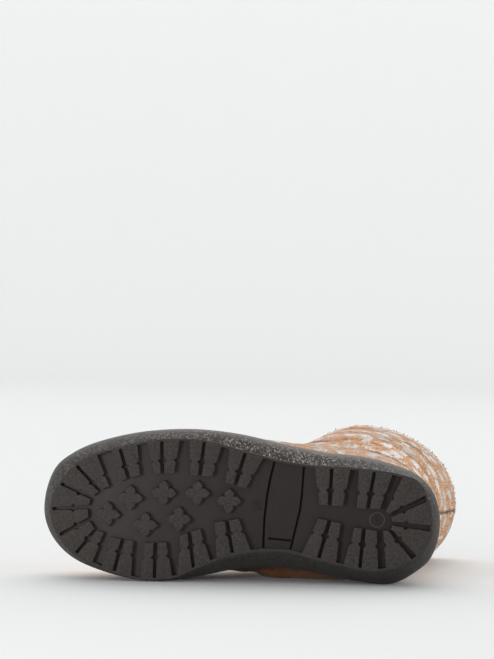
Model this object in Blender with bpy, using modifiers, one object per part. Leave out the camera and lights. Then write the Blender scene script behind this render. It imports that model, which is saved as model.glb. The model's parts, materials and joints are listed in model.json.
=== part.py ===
"""A left mukluk boot: a moulded rubber sole with a lugged tread, a hollow upper of short haired hide, an insole.

The boot is modelled in its own frame: +X from the heel to the toe, +Y to its lateral side, +Z up from the
ground, with the heel's back at the origin. An empty then lays it on its medial side, as an empty boot with a
slack shaft lies: the flat of its convex hull under its centre of mass is turned down. Lying, its sole faces
-Y, its toe points to -X and its lateral side is up.
"""

import math

import bmesh
import bpy
import numpy as np
from mathutils import Matrix, Vector

# Driving sizes in metres
LENGTH = 0.275
BALL_WIDTH = 0.104
HEEL_THICKNESS = 0.031
FOREFOOT_THICKNESS = 0.024
TOE_SPRING = 0.012
ARCH_RISE = 0.002
LUG_HEIGHT = 0.0045
TREAD_RIM = 0.0014
TREAD_BACK = 0.0065
TREAD_FRONT = 0.0055
LUG_NOTCH = 0.0016
TOE_GROOVE = 0.0024
HEEL_GROOVE = 0.0050
CROSS_REACH = 0.0086
SHANK_GROOVE_WIDTH = 0.0015
SHANK_GROOVE_DEPTH = 0.0012
RING_RADIUS = 0.0055
RING_WIDTH = 0.0009
RING_HEIGHT = 0.0010
LIP_INSET = 0.0042
LIP_WIDTH = 0.0022
CUP_DEPTH = 0.0030
INSOLE_THICKNESS = 0.0040
WALL = 0.0030
INSTEP_HEIGHT = 0.108
BOOT_HEIGHT = 0.245
SHAFT_DEPTH = 0.128
SHAFT_WIDTH = 0.101
SEAM_WIDTH = 0.0042
SEAM_DEPTH = 0.0010
GAP = 0.0003

# Densities that place the centre of mass: foamed rubber, and hide with its lining
RUBBER_DENSITY = 600.0
HIDE_DENSITY = 450.0
INSOLE_DENSITY = 250.0

# Where the sole starts to rise to the toe, and where its arch lies, as shares of LENGTH
SPRING_START = 0.70
ARCH_START, ARCH_TOP, ARCH_END = 0.22, 0.39, 0.57
# Where the sole thins from heel to forefoot, as shares of LENGTH
THIN_START, THIN_END = 0.30, 0.60

# Points round a half ring of sole, upper and insole, heel to toe
HALF_STEPS = 32

# The sole's widest line: share of LENGTH from the heel, half widths as shares of BALL_WIDTH
OUTLINE = (
    # station, lateral, medial
    (0.010, 0.155, 0.165),
    (0.050, 0.305, 0.308),
    (0.111, 0.380, 0.403),
    (0.192, 0.429, 0.402),
    (0.300, 0.453, 0.362),
    (0.420, 0.503, 0.334),
    (0.510, 0.549, 0.353),
    (0.610, 0.571, 0.413),
    (0.730, 0.550, 0.448),
    (0.860, 0.464, 0.393),
    (0.936, 0.363, 0.304),
    (0.987, 0.197, 0.146),
)

# The tread's edge, where the sole's side starts: share of the tread's own length, half widths as above
TREAD = (
    # station, lateral, medial
    (0.021, 0.231, 0.160),
    (0.092, 0.344, 0.276),
    (0.141, 0.361, 0.303),
    (0.236, 0.376, 0.276),
    (0.300, 0.376, 0.244),
    (0.373, 0.389, 0.205),
    (0.438, 0.417, 0.206),
    (0.527, 0.470, 0.247),
    (0.600, 0.510, 0.326),
    (0.666, 0.515, 0.405),
    (0.731, 0.500, 0.430),
    (0.813, 0.448, 0.404),
    (0.883, 0.392, 0.345),
    (0.943, 0.298, 0.268),
    (0.977, 0.190, 0.172),
)

# The sole's side from the tread's edge to its widest line: share of the way out, share of the thickness
FLARE = (
    # out, height
    (0.00, 0.00),
    (0.14, 0.05),
    (0.62, 0.27),
    (0.90, 0.45),
    (1.00, 0.60),
)

# The sole's shoulder above its widest line: share of LIP_INSET inwards, share of the thickness
SHOULDER = (
    # inwards, height
    (0.12, 0.76),
    (0.42, 0.90),
    (1.00, 1.00),
)

# Key rings of the upper above the sole. A ring runs from the back line to the front line, and its widths
# are given at the heel, waist, ball and toe shares of its length. shaft 0 takes lengths from LENGTH and
# widths from BALL_WIDTH, shaft 1 from SHAFT_DEPTH and SHAFT_WIDTH. aside moves the back and front lines to
# the lateral side, as a share of the same width: the slack shaft sags to the side that it lies on. A level
# of 0 to 1 is a share of INSTEP_HEIGHT, and 1 to 2 goes on from there to BOOT_HEIGHT.
RING_SHARES = (0.12, 0.40, 0.68, 0.92)
KEY_RINGS = (
    # name, shaft, back, aside, span, back level, front level, lateral x4, medial x4
    ("low side", 0.0, 0.015, 0.0, 0.956, 0.40, 0.37,
     (0.550, 0.462, 0.560, 0.670), (0.550, 0.350, 0.450, 0.580)),
    ("toe box", 0.0, 0.008, 0.0, 0.940, 0.50, 0.53,
     (0.540, 0.452, 0.535, 0.640), (0.530, 0.385, 0.440, 0.555)),
    ("vamp", 0.0, 0.007, 0.0, 0.868, 0.61, 0.67,
     (0.520, 0.455, 0.485, 0.540), (0.505, 0.400, 0.420, 0.470)),
    ("throat", 0.0, 0.010, 0.0, 0.745, 0.74, 0.82,
     (0.500, 0.446, 0.435, 0.425), (0.480, 0.410, 0.395, 0.390)),
    ("instep", 0.0, 0.007, 0.0, 0.612, 0.90, 1.00,
     (0.482, 0.427, 0.415, 0.400), (0.470, 0.430, 0.405, 0.385)),
    ("ankle", 0.5, -0.012, -0.032, 0.692, 1.10, 1.18,
     (0.524, 0.518, 0.480, 0.460), (0.460, 0.438, 0.408, 0.388)),
    ("lower shaft", 1.0, -0.046, -0.074, 0.985, 1.38, 1.44,
     (0.590, 0.552, 0.560, 0.542), (0.440, 0.423, 0.406, 0.396)),
    ("shaft", 1.0, -0.088, -0.092, 1.005, 1.68, 1.72,
     (0.555, 0.568, 0.610, 0.582), (0.515, 0.415, 0.403, 0.398)),
    ("collar", 1.0, -0.101, -0.092, 1.020, 2.00, 2.00,
     (0.538, 0.555, 0.586, 0.590), (0.420, 0.416, 0.413, 0.408)),
)
# Rings drawn between one key ring and the next
RINGS_BETWEEN = (2, 2, 3, 3, 3, 3, 2, 2, 2)

# The slack hide's main folds, as soft ridges (height above 0) and troughs (below 0)
FOLDS = (
    # side, key ring, share along the ring, reach over rings, reach along, lean, height
    (-1, 1.3, 0.33, 0.75, 0.085, 0.02, 0.0050),
    (-1, 1.5, 0.47, 0.70, 0.055, 0.03, 0.0036),
    (-1, 3.4, 0.52, 0.55, 0.160, -0.03, -0.0034),
    (1, 1.7, 0.42, 0.80, 0.110, 0.02, 0.0030),
    (1, 3.5, 0.50, 0.50, 0.180, -0.04, -0.0036),
    (1, 4.6, 0.72, 0.45, 0.200, 0.00, 0.0028),
    (-1, 4.7, 0.74, 0.45, 0.200, 0.00, 0.0026),
    (1, 5.6, 0.30, 0.40, 0.240, 0.05, -0.0030),
    (-1, 5.8, 0.40, 0.40, 0.240, -0.05, -0.0028),
    (1, 6.8, 0.62, 0.50, 0.220, 0.08, 0.0024),
)

# Pairs of bottle shaped lugs. Stations are shares of LENGTH on the tread's edge and at the lugs' inner
# ends, for the pair's toe edge, the groove between its lugs and its heel edge. The reach is how far from
# the long axis the inner ends stay, as a share of BALL_WIDTH.
LUG_PAIRS = (
    # side, outer toe, groove, heel, inner toe, groove, heel, reach at the toe edge, at the heel edge
    (1, 0.833, 0.812, 0.769, 0.808, 0.786, 0.757, 0.214, 0.261),
    (1, 0.746, 0.708, 0.662, 0.722, 0.702, 0.673, 0.272, 0.286),
    (1, 0.639, 0.601, 0.557, 0.633, 0.609, 0.578, 0.278, 0.272),
    (1, 0.537, 0.497, 0.451, 0.545, 0.520, 0.492, 0.240, 0.205),
    (-1, 0.845, 0.814, 0.770, 0.825, 0.794, 0.767, 0.159, 0.178),
    (-1, 0.746, 0.711, 0.666, 0.740, 0.712, 0.685, 0.187, 0.173),
    (-1, 0.654, 0.614, 0.572, 0.652, 0.629, 0.602, 0.123, 0.076),
    (-1, 0.557, 0.518, 0.472, 0.568, 0.537, 0.507, 0.028, -0.003),
    (1, 0.324, 0.281, 0.234, 0.308, 0.282, 0.249, 0.116, 0.118),
    (1, 0.214, 0.174, 0.128, 0.215, 0.187, 0.156, 0.108, 0.108),
    (-1, 0.347, 0.304, 0.260, 0.310, 0.281, 0.252, -0.029, -0.002),
    (-1, 0.242, 0.200, 0.154, 0.218, 0.194, 0.161, 0.018, 0.035),
)

# Radial lines round the toe and the heel, with a lug between each and the next: outer and inner ends as
# shares of LENGTH from the heel and of BALL_WIDTH from the long axis, lateral side first
TOE_LINES = (
    # outer station, outer width, inner station, inner width
    (0.866, 0.368, 0.833, 0.178),
    (0.910, 0.280, 0.857, 0.147),
    (0.959, 0.178, 0.878, 0.098),
    (0.986, 0.000, 0.886, 0.031),
    (0.966, -0.185, 0.883, -0.052),
    (0.914, -0.294, 0.864, -0.118),
    (0.869, -0.343, 0.842, -0.131),
)
HEEL_LINES = (
    # outer station, outer width, inner station, inner width
    (0.104, 0.328, 0.142, 0.098),
    (0.047, 0.186, 0.129, 0.073),
    (0.029, -0.005, 0.123, 0.018),
    (0.067, -0.196, 0.128, -0.032),
    (0.134, -0.288, 0.147, -0.029),
)

# A lug's side from the tread's edge inwards: share of its length, share of LUG_NOTCH cut in
LUG_SIDE = (
    # along, cut in
    (-0.30, 0.00),
    (0.56, 0.00),
    (0.61, 1.00),
    (0.66, 0.15),
    (1.00, 0.08),
)

# Centres of the four lobed lugs: share of LENGTH, share of BALL_WIDTH
CROSSES = (
    # station, width
    (0.835, -0.008),
    (0.780, 0.109),
    (0.697, 0.153),
    (0.613, 0.161),
    (0.534, 0.118),
    (0.740, -0.065),
    (0.657, -0.017),
)

# One lobe of such a lug: share of CROSS_REACH out from its centre, share to the side
CROSS_LOBE = (
    # out, aside
    (0.30, -0.30),
    (0.46, -0.40),
    (0.72, -0.34),
    (1.00, 0.00),
    (0.72, 0.34),
    (0.46, 0.40),
)

# Lines of the grooves round the shank's smooth panel: share of LENGTH, share of BALL_WIDTH
SHANK_LINES = (
    ((0.424, 0.385), (0.433, 0.270), (0.439, 0.150), (0.443, 0.004), (0.443, -0.130), (0.442, -0.200)),
    ((0.350, 0.362), (0.351, 0.260), (0.352, 0.162), (0.355, 0.070), (0.361, -0.010), (0.371, -0.150), (0.375, -0.196)),
    ((0.431, -0.125), (0.374, -0.134)),
)

# Centre of the heel's ring: share of LENGTH, share of BALL_WIDTH
RING_CENTRE = (0.161, 0.033)

# Sizes of the working shapes
CUTTER_DEPTH = 0.006
CUTTER_CLEAR = 0.001
BEND_STEPS = 6
WELD = 0.00002
FLAT_ANGLE = math.radians(0.2)
NEAR_ZERO = 1e-9


def clear_scene():
    for item in list(bpy.data.objects):
        bpy.data.objects.remove(item, do_unlink=True)


def new_collection(name, hidden=False):
    collection = bpy.data.collections.new(name)
    bpy.context.scene.collection.children.link(collection)
    collection.hide_render = hidden
    return collection


def make_material(name, colour, roughness, metallic=0.0):
    material = bpy.data.materials.new(name)
    material.use_nodes = True
    surface = material.node_tree.nodes["Principled BSDF"]
    surface.inputs["Base Color"].default_value = (*colour, 1.0)
    surface.inputs["Roughness"].default_value = roughness
    surface.inputs["Metallic"].default_value = metallic
    return material


def smoothstep(low, high, x):
    t = np.clip((np.asarray(x, float) - low) / (high - low), 0.0, 1.0)
    return t * t * (3.0 - 2.0 * t)


def thickness(along):
    """The sole's height over the tread's plane, by metres from the heel."""
    thinned = smoothstep(THIN_START * LENGTH, THIN_END * LENGTH, along)
    return HEEL_THICKNESS + (FOREFOOT_THICKNESS - HEEL_THICKNESS) * thinned


def bend(along):
    """How far the toe spring and the arch lift the boot, by metres from the heel."""
    share = np.asarray(along, float) / LENGTH
    toe = np.clip((share - SPRING_START) / (1.0 - SPRING_START), 0.0, 1.3)
    arch = smoothstep(ARCH_START, ARCH_TOP, share) - smoothstep(ARCH_TOP, ARCH_END, share)
    return TOE_SPRING * toe**1.8 + ARCH_RISE * arch


def ring_angles():
    """Angles of a half ring from heel to toe. The first step is the back seam's half width."""
    seam = SEAM_WIDTH / BALL_WIDTH
    rest = np.linspace(math.pi / HALF_STEPS, math.pi, HALF_STEPS)
    return np.concatenate([[0.0, min(seam, 0.5 * rest[0])], rest])


def fullness(angles, shares, widths):
    """Half width over the sine of the angle, smoothly through the table's rows and level past its ends."""
    at = np.arccos(1.0 - 2.0 * np.asarray(shares))
    full = np.asarray(widths) / np.sin(at)
    slopes = np.gradient(full, at)
    slopes[0] = slopes[-1] = 0.0
    x = np.clip(angles, at[0], at[-1])
    row = np.clip(np.searchsorted(at, x, side="right") - 1, 0, len(at) - 2)
    step = at[row + 1] - at[row]
    t = (x - at[row]) / step
    return (
        (2 * t**3 - 3 * t**2 + 1) * full[row]
        + (t**3 - 2 * t**2 + t) * step * slopes[row]
        + (3 * t**2 - 2 * t**3) * full[row + 1]
        + (t**3 - t**2) * step * slopes[row + 1]
    )


def plan_ring(back, front, rows):
    """A closed plan outline: heel, lateral side, toe, medial side. Rows are share, lateral, medial in metres."""
    angles = ring_angles()
    shares, lateral, medial = (np.array(column) for column in zip(*rows))
    along = back + (front - back) * (1.0 - np.cos(angles)) / 2.0
    left = np.sin(angles) * fullness(angles, shares, lateral)
    right = np.sin(angles) * fullness(angles, shares, medial)
    there = np.stack([along, left], axis=1)
    return np.concatenate([there, np.stack([along, -right], axis=1)[-2:0:-1]])


def outwards(ring):
    """Unit normals of a closed plan ring."""
    tangent = np.roll(ring, -1, axis=0) - np.roll(ring, 1, axis=0)
    normal = np.stack([tangent[:, 1], -tangent[:, 0]], axis=1)
    centre = ring.mean(axis=0)
    if ((ring - centre) * normal).sum() < 0:
        normal = -normal
    return normal / np.linalg.norm(normal, axis=1, keepdims=True)


def inset(ring, distance):
    return ring - outwards(ring) * distance


def sized(rows, unit=BALL_WIDTH):
    return [(row[0], row[1] * unit, row[2] * unit) for row in rows]


def sole_outline():
    return plan_ring(0.0, LENGTH, sized(OUTLINE))


def tread_outline():
    return plan_ring(TREAD_BACK, LENGTH - TREAD_FRONT, sized(TREAD))


def feather_outline():
    """The upper's outer plan where it enters the sole's cup."""
    return inset(sole_outline(), LIP_INSET + LIP_WIDTH + GAP)


def raised(ring, height):
    """A plan ring at a height, which may differ along it, before the boot is bent."""
    return np.column_stack([ring, np.broadcast_to(height, len(ring))])


def lifted(points):
    """The same points with the toe spring and the arch."""
    points = np.array(points, float)
    points[..., 2] += bend(points[..., 0])
    return points


def new_object(name, bm, material, collection):
    mesh = bpy.data.meshes.new(name)
    bm.to_mesh(mesh)
    bm.free()
    item = bpy.data.objects.new(name, mesh)
    collection.objects.link(item)
    if material:
        mesh.materials.append(material)
    return item


def loft(rings, capped):
    """A skin through rings of equally many points. Caps are ladders across the ring, so that they can bend."""
    bm = bmesh.new()
    rows = [[bm.verts.new(point) for point in ring] for ring in rings]
    count = len(rows[0])
    for low, high in zip(rows, rows[1:]):
        for k in range(count):
            after = (k + 1) % count
            bm.faces.new((low[k], low[after], high[after], high[k]))
    if capped:
        for row in (rows[0], rows[-1]):
            for k in range(count // 2):
                corners = [row[k], row[k + 1], row[-k - 1], row[-k]]
                unique = list(dict.fromkeys(corners))
                bm.faces.new(unique)
    bmesh.ops.recalc_face_normals(bm, faces=bm.faces)
    return bm


def flat_solid(name, outlines, low, high, collection):
    """A solid from flat outlines: a filled 2D curve, extruded and made a mesh with its caps welded."""
    curve = bpy.data.curves.new(name, "CURVE")
    curve.dimensions = "2D"
    curve.fill_mode = "BOTH"
    curve.extrude = (high - low) / 2.0
    for outline in outlines:
        spline = curve.splines.new("POLY")
        spline.points.add(len(outline) - 1)
        for point, (x, y) in zip(spline.points, outline):
            point.co = (x, y, 0.0, 1.0)
        spline.use_cyclic_u = True
    drawn = bpy.data.objects.new(name + "_outline", curve)
    drawn.location.z = (low + high) / 2.0
    collection.objects.link(drawn)
    bpy.context.view_layer.update()
    graph = bpy.context.evaluated_depsgraph_get()
    mesh = bpy.data.meshes.new_from_object(drawn.evaluated_get(graph))
    mesh.transform(drawn.matrix_world)
    bpy.data.objects.remove(drawn, do_unlink=True)
    bm = bmesh.new()
    bm.from_mesh(mesh)
    bmesh.ops.remove_doubles(bm, verts=bm.verts, dist=WELD)
    bmesh.ops.recalc_face_normals(bm, faces=bm.faces)
    bmesh.ops.dissolve_limit(bm, angle_limit=FLAT_ANGLE, verts=bm.verts, edges=bm.edges)
    return new_object(name, bm, None, collection)


def add_boolean(target, other, operation):
    modifier = target.modifiers.new(other.name, "BOOLEAN")
    modifier.operation = operation
    modifier.solver = "EXACT"
    modifier.object = other


def baked(item):
    """Applies an object's modifiers, and joins the flat faces that they leave in pieces."""
    bpy.context.view_layer.update()
    graph = bpy.context.evaluated_depsgraph_get()
    mesh = bpy.data.meshes.new_from_object(item.evaluated_get(graph))
    item.modifiers.clear()
    item.data = mesh
    bm = bmesh.new()
    bm.from_mesh(mesh)
    bmesh.ops.remove_doubles(bm, verts=bm.verts, dist=WELD)
    bmesh.ops.holes_fill(bm, edges=bm.edges, sides=4)
    bmesh.ops.dissolve_limit(bm, angle_limit=FLAT_ANGLE, verts=bm.verts, edges=bm.edges)
    bm.to_mesh(mesh)
    bm.free()


def as_cutter(item):
    item.hide_render = True
    item.display_type = "WIRE"


def on_edge(station, side):
    """A point of the tread's edge at a share of LENGTH."""
    ring = tread_outline()
    half = ring[: HALF_STEPS + 2] if side > 0 else np.concatenate([ring[:1], ring[: HALF_STEPS : -1]])
    return np.array([station * LENGTH, np.interp(station * LENGTH, half[:, 0], half[:, 1])])


def in_plan(station, width):
    return np.array([station * LENGTH, width * BALL_WIDTH])


def unit(vector):
    return vector / max(np.linalg.norm(vector), NEAR_ZERO)


def lug_outline(first, second, outer_gap, inner_gap):
    """A lug between two lines, each an outer and an inner end, drawn in by half a groove on each side."""
    sides = []
    for (outer, inner), (other_outer, other_inner), gaps in (
        (first, second, (outer_gap[0], inner_gap[0])),
        (second, first, (outer_gap[1], inner_gap[1])),
    ):
        side = []
        for along, cut in LUG_SIDE:
            here = outer + (inner - outer) * along
            there = other_outer + (other_inner - other_outer) * along
            gap = gaps[0] + (gaps[1] - gaps[0]) * max(along, 0.0)
            side.append(here + unit(there - here) * (gap / 2.0 + cut * LUG_NOTCH))
        sides.append(side)
    return sides[0] + sides[1][::-1]


def pair_outlines(row):
    side, outer, inner = row[0], row[1:4], row[4:7]
    reaches = (row[7], (row[7] + row[8]) / 2.0, row[8])
    lines = [
        (on_edge(out, side), in_plan(back, side * reach)) for out, back, reach in zip(outer, inner, reaches)
    ]
    groove = (0.0, TOE_GROOVE)
    toe_lug = lug_outline(lines[0], lines[1], groove, groove)
    heel_lug = lug_outline(lines[1], lines[2], groove[::-1], groove[::-1])
    return [toe_lug, heel_lug]


def fan_outlines(rows, outer_gap, inner_gap):
    lines = [(in_plan(*row[:2]), in_plan(*row[2:])) for row in rows]
    outlines = []
    for place, (first, second) in enumerate(zip(lines, lines[1:])):
        inside = (float(place > 0), float(place < len(lines) - 2))
        outer = tuple(outer_gap * share for share in inside)
        inner = tuple(inner_gap * share for share in inside)
        outlines.append(lug_outline(first, second, outer, inner))
    return outlines


def cross_outline(centre):
    points = []
    for quarter in range(4):
        turn = quarter * math.pi / 2.0
        for out, aside in CROSS_LOBE:
            x = CROSS_REACH * (out * math.cos(turn) - aside * math.sin(turn))
            y = CROSS_REACH * (out * math.sin(turn) + aside * math.cos(turn))
            points.append(centre + np.array([x, y]))
    return points


def strip_outline(line, width):
    """A strip of one width along a line."""
    points = np.array([in_plan(*point) for point in line])
    way = np.gradient(points, axis=0)
    way /= np.linalg.norm(way, axis=1, keepdims=True)
    aside = np.stack([-way[:, 1], way[:, 0]], axis=1) * width / 2.0
    return list(points + aside) + list((points - aside)[::-1])


def bend_stations():
    """Where the flat sole is cut across, so that it can bend between the cuts."""
    arch = np.linspace(ARCH_START, ARCH_END, BEND_STEPS)
    toe = np.linspace(SPRING_START, 1.0, BEND_STEPS + 1)[:-1]
    return np.concatenate([arch, toe]) * LENGTH


def cut_and_bend(item):
    bm = bmesh.new()
    bm.from_mesh(item.data)
    stations = bend_stations()
    for station in stations:
        everything = bm.verts[:] + bm.edges[:] + bm.faces[:]
        bmesh.ops.bisect_plane(bm, geom=everything, dist=WELD, plane_co=(station, 0, 0), plane_no=(1, 0, 0))
    knots = np.concatenate([[0.0], stations, [LENGTH * 1.01]])
    heights = bend(knots)
    for vert in bm.verts:
        vert.co.z += float(np.interp(vert.co.x, knots, heights))
    bmesh.ops.triangulate(bm, faces=[face for face in bm.faces if len(face.verts) > 4])
    bm.to_mesh(item.data)
    bm.free()


def sole_rings():
    """The sole's outside from the tread's edge up to the floor of its cup, before it is bent."""
    edge, outline = tread_outline(), sole_outline()
    rings = []
    for out, height in FLARE:
        plan = edge + (outline - edge) * out
        rings.append(raised(plan, height * thickness(plan[:, 0])))
    for share, height in SHOULDER:
        plan = inset(outline, LIP_INSET * share)
        rings.append(raised(plan, height * thickness(plan[:, 0])))
    lip = inset(outline, LIP_INSET + LIP_WIDTH)
    rings.append(raised(lip, thickness(lip[:, 0])))
    rings.append(raised(lip, thickness(lip[:, 0]) - CUP_DEPTH))
    return rings


def build_outsole(material, collection, cutters):
    sole = new_object("outsole", loft(sole_rings(), capped=True), material, collection)
    lugs = [outline for row in LUG_PAIRS for outline in pair_outlines(row)]
    lugs += fan_outlines(TOE_LINES, TOE_GROOVE, TOE_GROOVE)
    lugs += fan_outlines(HEEL_LINES, HEEL_GROOVE, TOE_GROOVE)
    lugs += [cross_outline(in_plan(*centre)) for centre in CROSSES]
    below = -CUTTER_DEPTH
    plate = flat_solid("tread_pocket", [inset(tread_outline(), TREAD_RIM)], below, LUG_HEIGHT, cutters)
    kept = flat_solid("lugs", lugs, below - CUTTER_CLEAR, LUG_HEIGHT + CUTTER_CLEAR, cutters)
    grooves = [
        flat_solid(f"shank_groove_{place}", [strip_outline(line, SHANK_GROOVE_WIDTH)],
                   LUG_HEIGHT - CUTTER_CLEAR, LUG_HEIGHT + SHANK_GROOVE_DEPTH, cutters)
        for place, line in enumerate(SHANK_LINES)
    ]
    add_boolean(plate, kept, "DIFFERENCE")
    baked(plate)
    add_boolean(sole, plate, "DIFFERENCE")
    for groove in grooves:
        add_boolean(sole, groove, "DIFFERENCE")
    ring = build_ring(cutters)
    add_boolean(sole, ring, "UNION")
    baked(sole)
    for item in (plate, kept, ring, *grooves):
        as_cutter(item)
    cut_and_bend(sole)
    sole.data.shade_smooth()
    sole.data.set_sharp_from_angle(angle=math.radians(35))
    return sole


def build_ring(cutters):
    """The small raised ring on the heel, a profile turned round its axis."""
    centre = in_plan(*RING_CENTRE)
    bm = bmesh.new()
    low, high = LUG_HEIGHT - RING_HEIGHT, LUG_HEIGHT + CUTTER_CLEAR
    corners = ((RING_RADIUS, high), (RING_RADIUS, low), (RING_RADIUS - RING_WIDTH, low),
               (RING_RADIUS - RING_WIDTH, high))
    verts = [bm.verts.new((x, 0.0, z)) for x, z in corners]
    for first, second in zip(verts, verts[1:] + verts[:1]):
        bm.edges.new((first, second))
    bmesh.ops.spin(bm, geom=bm.verts[:] + bm.edges[:], cent=(0, 0, 0), axis=(0, 0, 1),
                   angle=math.tau, steps=20, use_merge=True, use_duplicate=False)
    bmesh.ops.remove_doubles(bm, verts=bm.verts, dist=WELD)
    bmesh.ops.recalc_face_normals(bm, faces=bm.faces)
    bmesh.ops.translate(bm, verts=bm.verts, vec=(centre[0], centre[1], 0.0))
    return new_object("heel_ring", bm, None, cutters)


def level(share):
    if share <= 1.0:
        return share * INSTEP_HEIGHT
    return INSTEP_HEIGHT + (share - 1.0) * (BOOT_HEIGHT - INSTEP_HEIGHT)


def key_ring(row):
    """One key ring of the upper, before it is bent."""
    _, shaft, back, aside, span, back_level, front_level, lateral, medial = row
    length = LENGTH + (SHAFT_DEPTH - LENGTH) * shaft
    width = BALL_WIDTH + (SHAFT_WIDTH - BALL_WIDTH) * shaft
    start = back * LENGTH
    sines = [2.0 * math.sqrt(share * (1.0 - share)) for share in RING_SHARES]
    rows = [
        (share, left * sine * width, right * sine * width)
        for share, sine, left, right in zip(RING_SHARES, sines, lateral, medial)
    ]
    plan = plan_ring(start, start + span * length, rows)
    plan[:, 1] += aside * width
    share = (plan[:, 0] - start) / (span * length)
    return raised(plan, level(back_level) + (level(front_level) - level(back_level)) * share)


def through(keys, place):
    """A ring between key rings, on a smooth curve through each of their points. place counts in key rings."""
    last = len(keys) - 1
    low = min(int(place), last - 1)
    t = place - low
    before, after = keys[max(low - 1, 0)], keys[min(low + 2, last)]
    start, end = keys[low], keys[low + 1]
    enter, leave = (end - before) / 2.0, (after - start) / 2.0
    return (
        (2 * t**3 - 3 * t**2 + 1) * start
        + (t**3 - 2 * t**2 + t) * enter
        + (3 * t**2 - 2 * t**3) * end
        + (t**3 - t**2) * leave
    )


def folded(ring, place):
    """The ring with the folds that cross it, and with the back seam's groove between its two ridges."""
    plan = ring[:, :2]
    normal = outwards(plan)
    share = (plan[:, 0] - plan[:, 0].min()) / np.ptp(plan[:, 0])
    side = np.where(np.arange(len(ring)) <= HALF_STEPS + 1, 1, -1)
    move = np.zeros(len(ring))
    for fold_side, at, along, over, reach, lean, height in FOLDS:
        centre = along + lean * (place - at)
        bump = np.exp(-(((share - centre) / reach) ** 2) - ((place - at) / over) ** 2)
        move += np.where(side == fold_side, height * bump, 0.0)
    move[0] -= SEAM_DEPTH
    move[[1, -1]] += SEAM_DEPTH / 2.0
    ring = ring.copy()
    ring[:, :2] += normal * move[:, None]
    return ring


def upper_rings():
    """The upper's outer skin from the floor of the sole's cup to the collar."""
    feather = feather_outline()
    top = thickness(feather[:, 0])
    foot = raised(feather, top - CUP_DEPTH + GAP)
    edge = raised(feather, top + GAP)
    keys = [edge] + [key_ring(row) for row in KEY_RINGS]
    rings = [foot, edge]
    for low, count in enumerate(RINGS_BETWEEN):
        for step in range(1, count + 1):
            place = low + step / count
            rings.append(folded(through(keys, place), place))
    return [lifted(ring) for ring in rings]


def build_upper(material, collection):
    upper = new_object("upper", loft(upper_rings(), capped=False), material, collection)
    wall = upper.modifiers.new("wall", "SOLIDIFY")
    wall.thickness = WALL
    wall.offset = -1.0
    wall.use_even_offset = True
    upper.data.shade_smooth()
    return upper


def build_insole(material, collection):
    outer = inset(feather_outline(), WALL + 2.0 * GAP)
    floor = thickness(outer[:, 0]) - CUP_DEPTH + GAP
    rounded = INSOLE_THICKNESS / 4.0
    rings = [
        raised(outer, floor),
        raised(outer, floor + INSOLE_THICKNESS - rounded),
        raised(inset(outer, rounded), floor + INSOLE_THICKNESS),
    ]
    insole = new_object("insole", loft([lifted(ring) for ring in rings], capped=True), material, collection)
    insole.data.shade_smooth()
    insole.data.set_sharp_from_angle(angle=math.radians(35))
    return insole


def skin_of(item):
    """The evaluated points and triangles of an object."""
    bpy.context.view_layer.update()
    evaluated = item.evaluated_get(bpy.context.evaluated_depsgraph_get())
    mesh = evaluated.to_mesh()
    mesh.calc_loop_triangles()
    points = np.array([vert.co[:] for vert in mesh.vertices])
    faces = np.array([triangle.vertices[:] for triangle in mesh.loop_triangles])
    evaluated.to_mesh_clear()
    return points, faces


def centre_of_mass(skins, densities):
    total, moment = 0.0, np.zeros(3)
    for (points, faces), density in zip(skins, densities):
        a, b, c = (points[faces[:, corner]] for corner in range(3))
        volumes = np.einsum("ij,ij->i", a, np.cross(b, c)) / 6.0 * density
        total += volumes.sum()
        moment += (volumes[:, None] * (a + b + c) / 4.0).sum(axis=0)
    return moment / total


def resting_face(skins, centre):
    """The medial face of the convex hull that lies under the centre of mass: its corners and its normal."""
    bm = bmesh.new()
    for points, _ in skins:
        for point in points:
            bm.verts.new(point)
    bmesh.ops.convex_hull(bm, input=bm.verts)
    bmesh.ops.triangulate(bm, faces=bm.faces)
    bmesh.ops.recalc_face_normals(bm, faces=bm.faces)
    best, best_margin = None, -math.inf
    for face in bm.faces:
        normal = face.normal
        if normal.y > -0.8:
            continue
        corners = [vert.co.copy() for vert in face.verts]
        foot = centre - normal * (centre - corners[0]).dot(normal)
        margins = []
        for start, end in zip(corners, corners[1:] + corners[:1]):
            inwards = normal.cross(end - start).normalized()
            margins.append((foot - start).dot(inwards))
        if min(margins) > best_margin:
            best, best_margin = normal.copy(), min(margins)
    bm.free()
    return best


def lying(skins, centre):
    """The matrix that lays the boot on its medial side, toe to -X, with its box's lowest centre at the origin."""
    down = resting_face(skins, Vector(centre))
    toe = Vector((1.0, 0.0, 0.0))
    toe = (toe - down * toe.dot(down)).normalized()
    turn = Matrix((-toe, down.cross(toe), -down)).to_4x4()
    points = np.concatenate([points for points, _ in skins]) @ np.array(turn.to_3x3()).T
    low, high = points.min(axis=0), points.max(axis=0)
    middle = Vector(((low[0] + high[0]) / 2.0, (low[1] + high[1]) / 2.0, low[2]))
    return Matrix.Translation(-middle) @ turn


def main():
    clear_scene()
    boot = new_collection("mukluk_boot")
    cutters = new_collection("cutters", hidden=True)
    rubber = make_material("moulded_rubber", (0.030, 0.026, 0.026), 0.75)
    hide = make_material("short_haired_hide", (0.55, 0.33, 0.19), 0.9)
    felt = make_material("insole_felt", (0.55, 0.50, 0.44), 0.95)
    pieces = [
        build_outsole(rubber, boot, cutters),
        build_upper(hide, boot),
        build_insole(felt, boot),
    ]
    skins = [skin_of(piece) for piece in pieces]
    centre = centre_of_mass(skins, (RUBBER_DENSITY, HIDE_DENSITY, INSOLE_DENSITY))
    rest = bpy.data.objects.new("lying_boot", None)
    boot.objects.link(rest)
    rest.matrix_world = lying(skins, centre)
    for piece in pieces:
        piece.parent = rest


main()
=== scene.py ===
import json
import math
from contextlib import contextmanager

import bmesh
import bpy
import numpy as np
from mathutils import Matrix, Vector, noise


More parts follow.
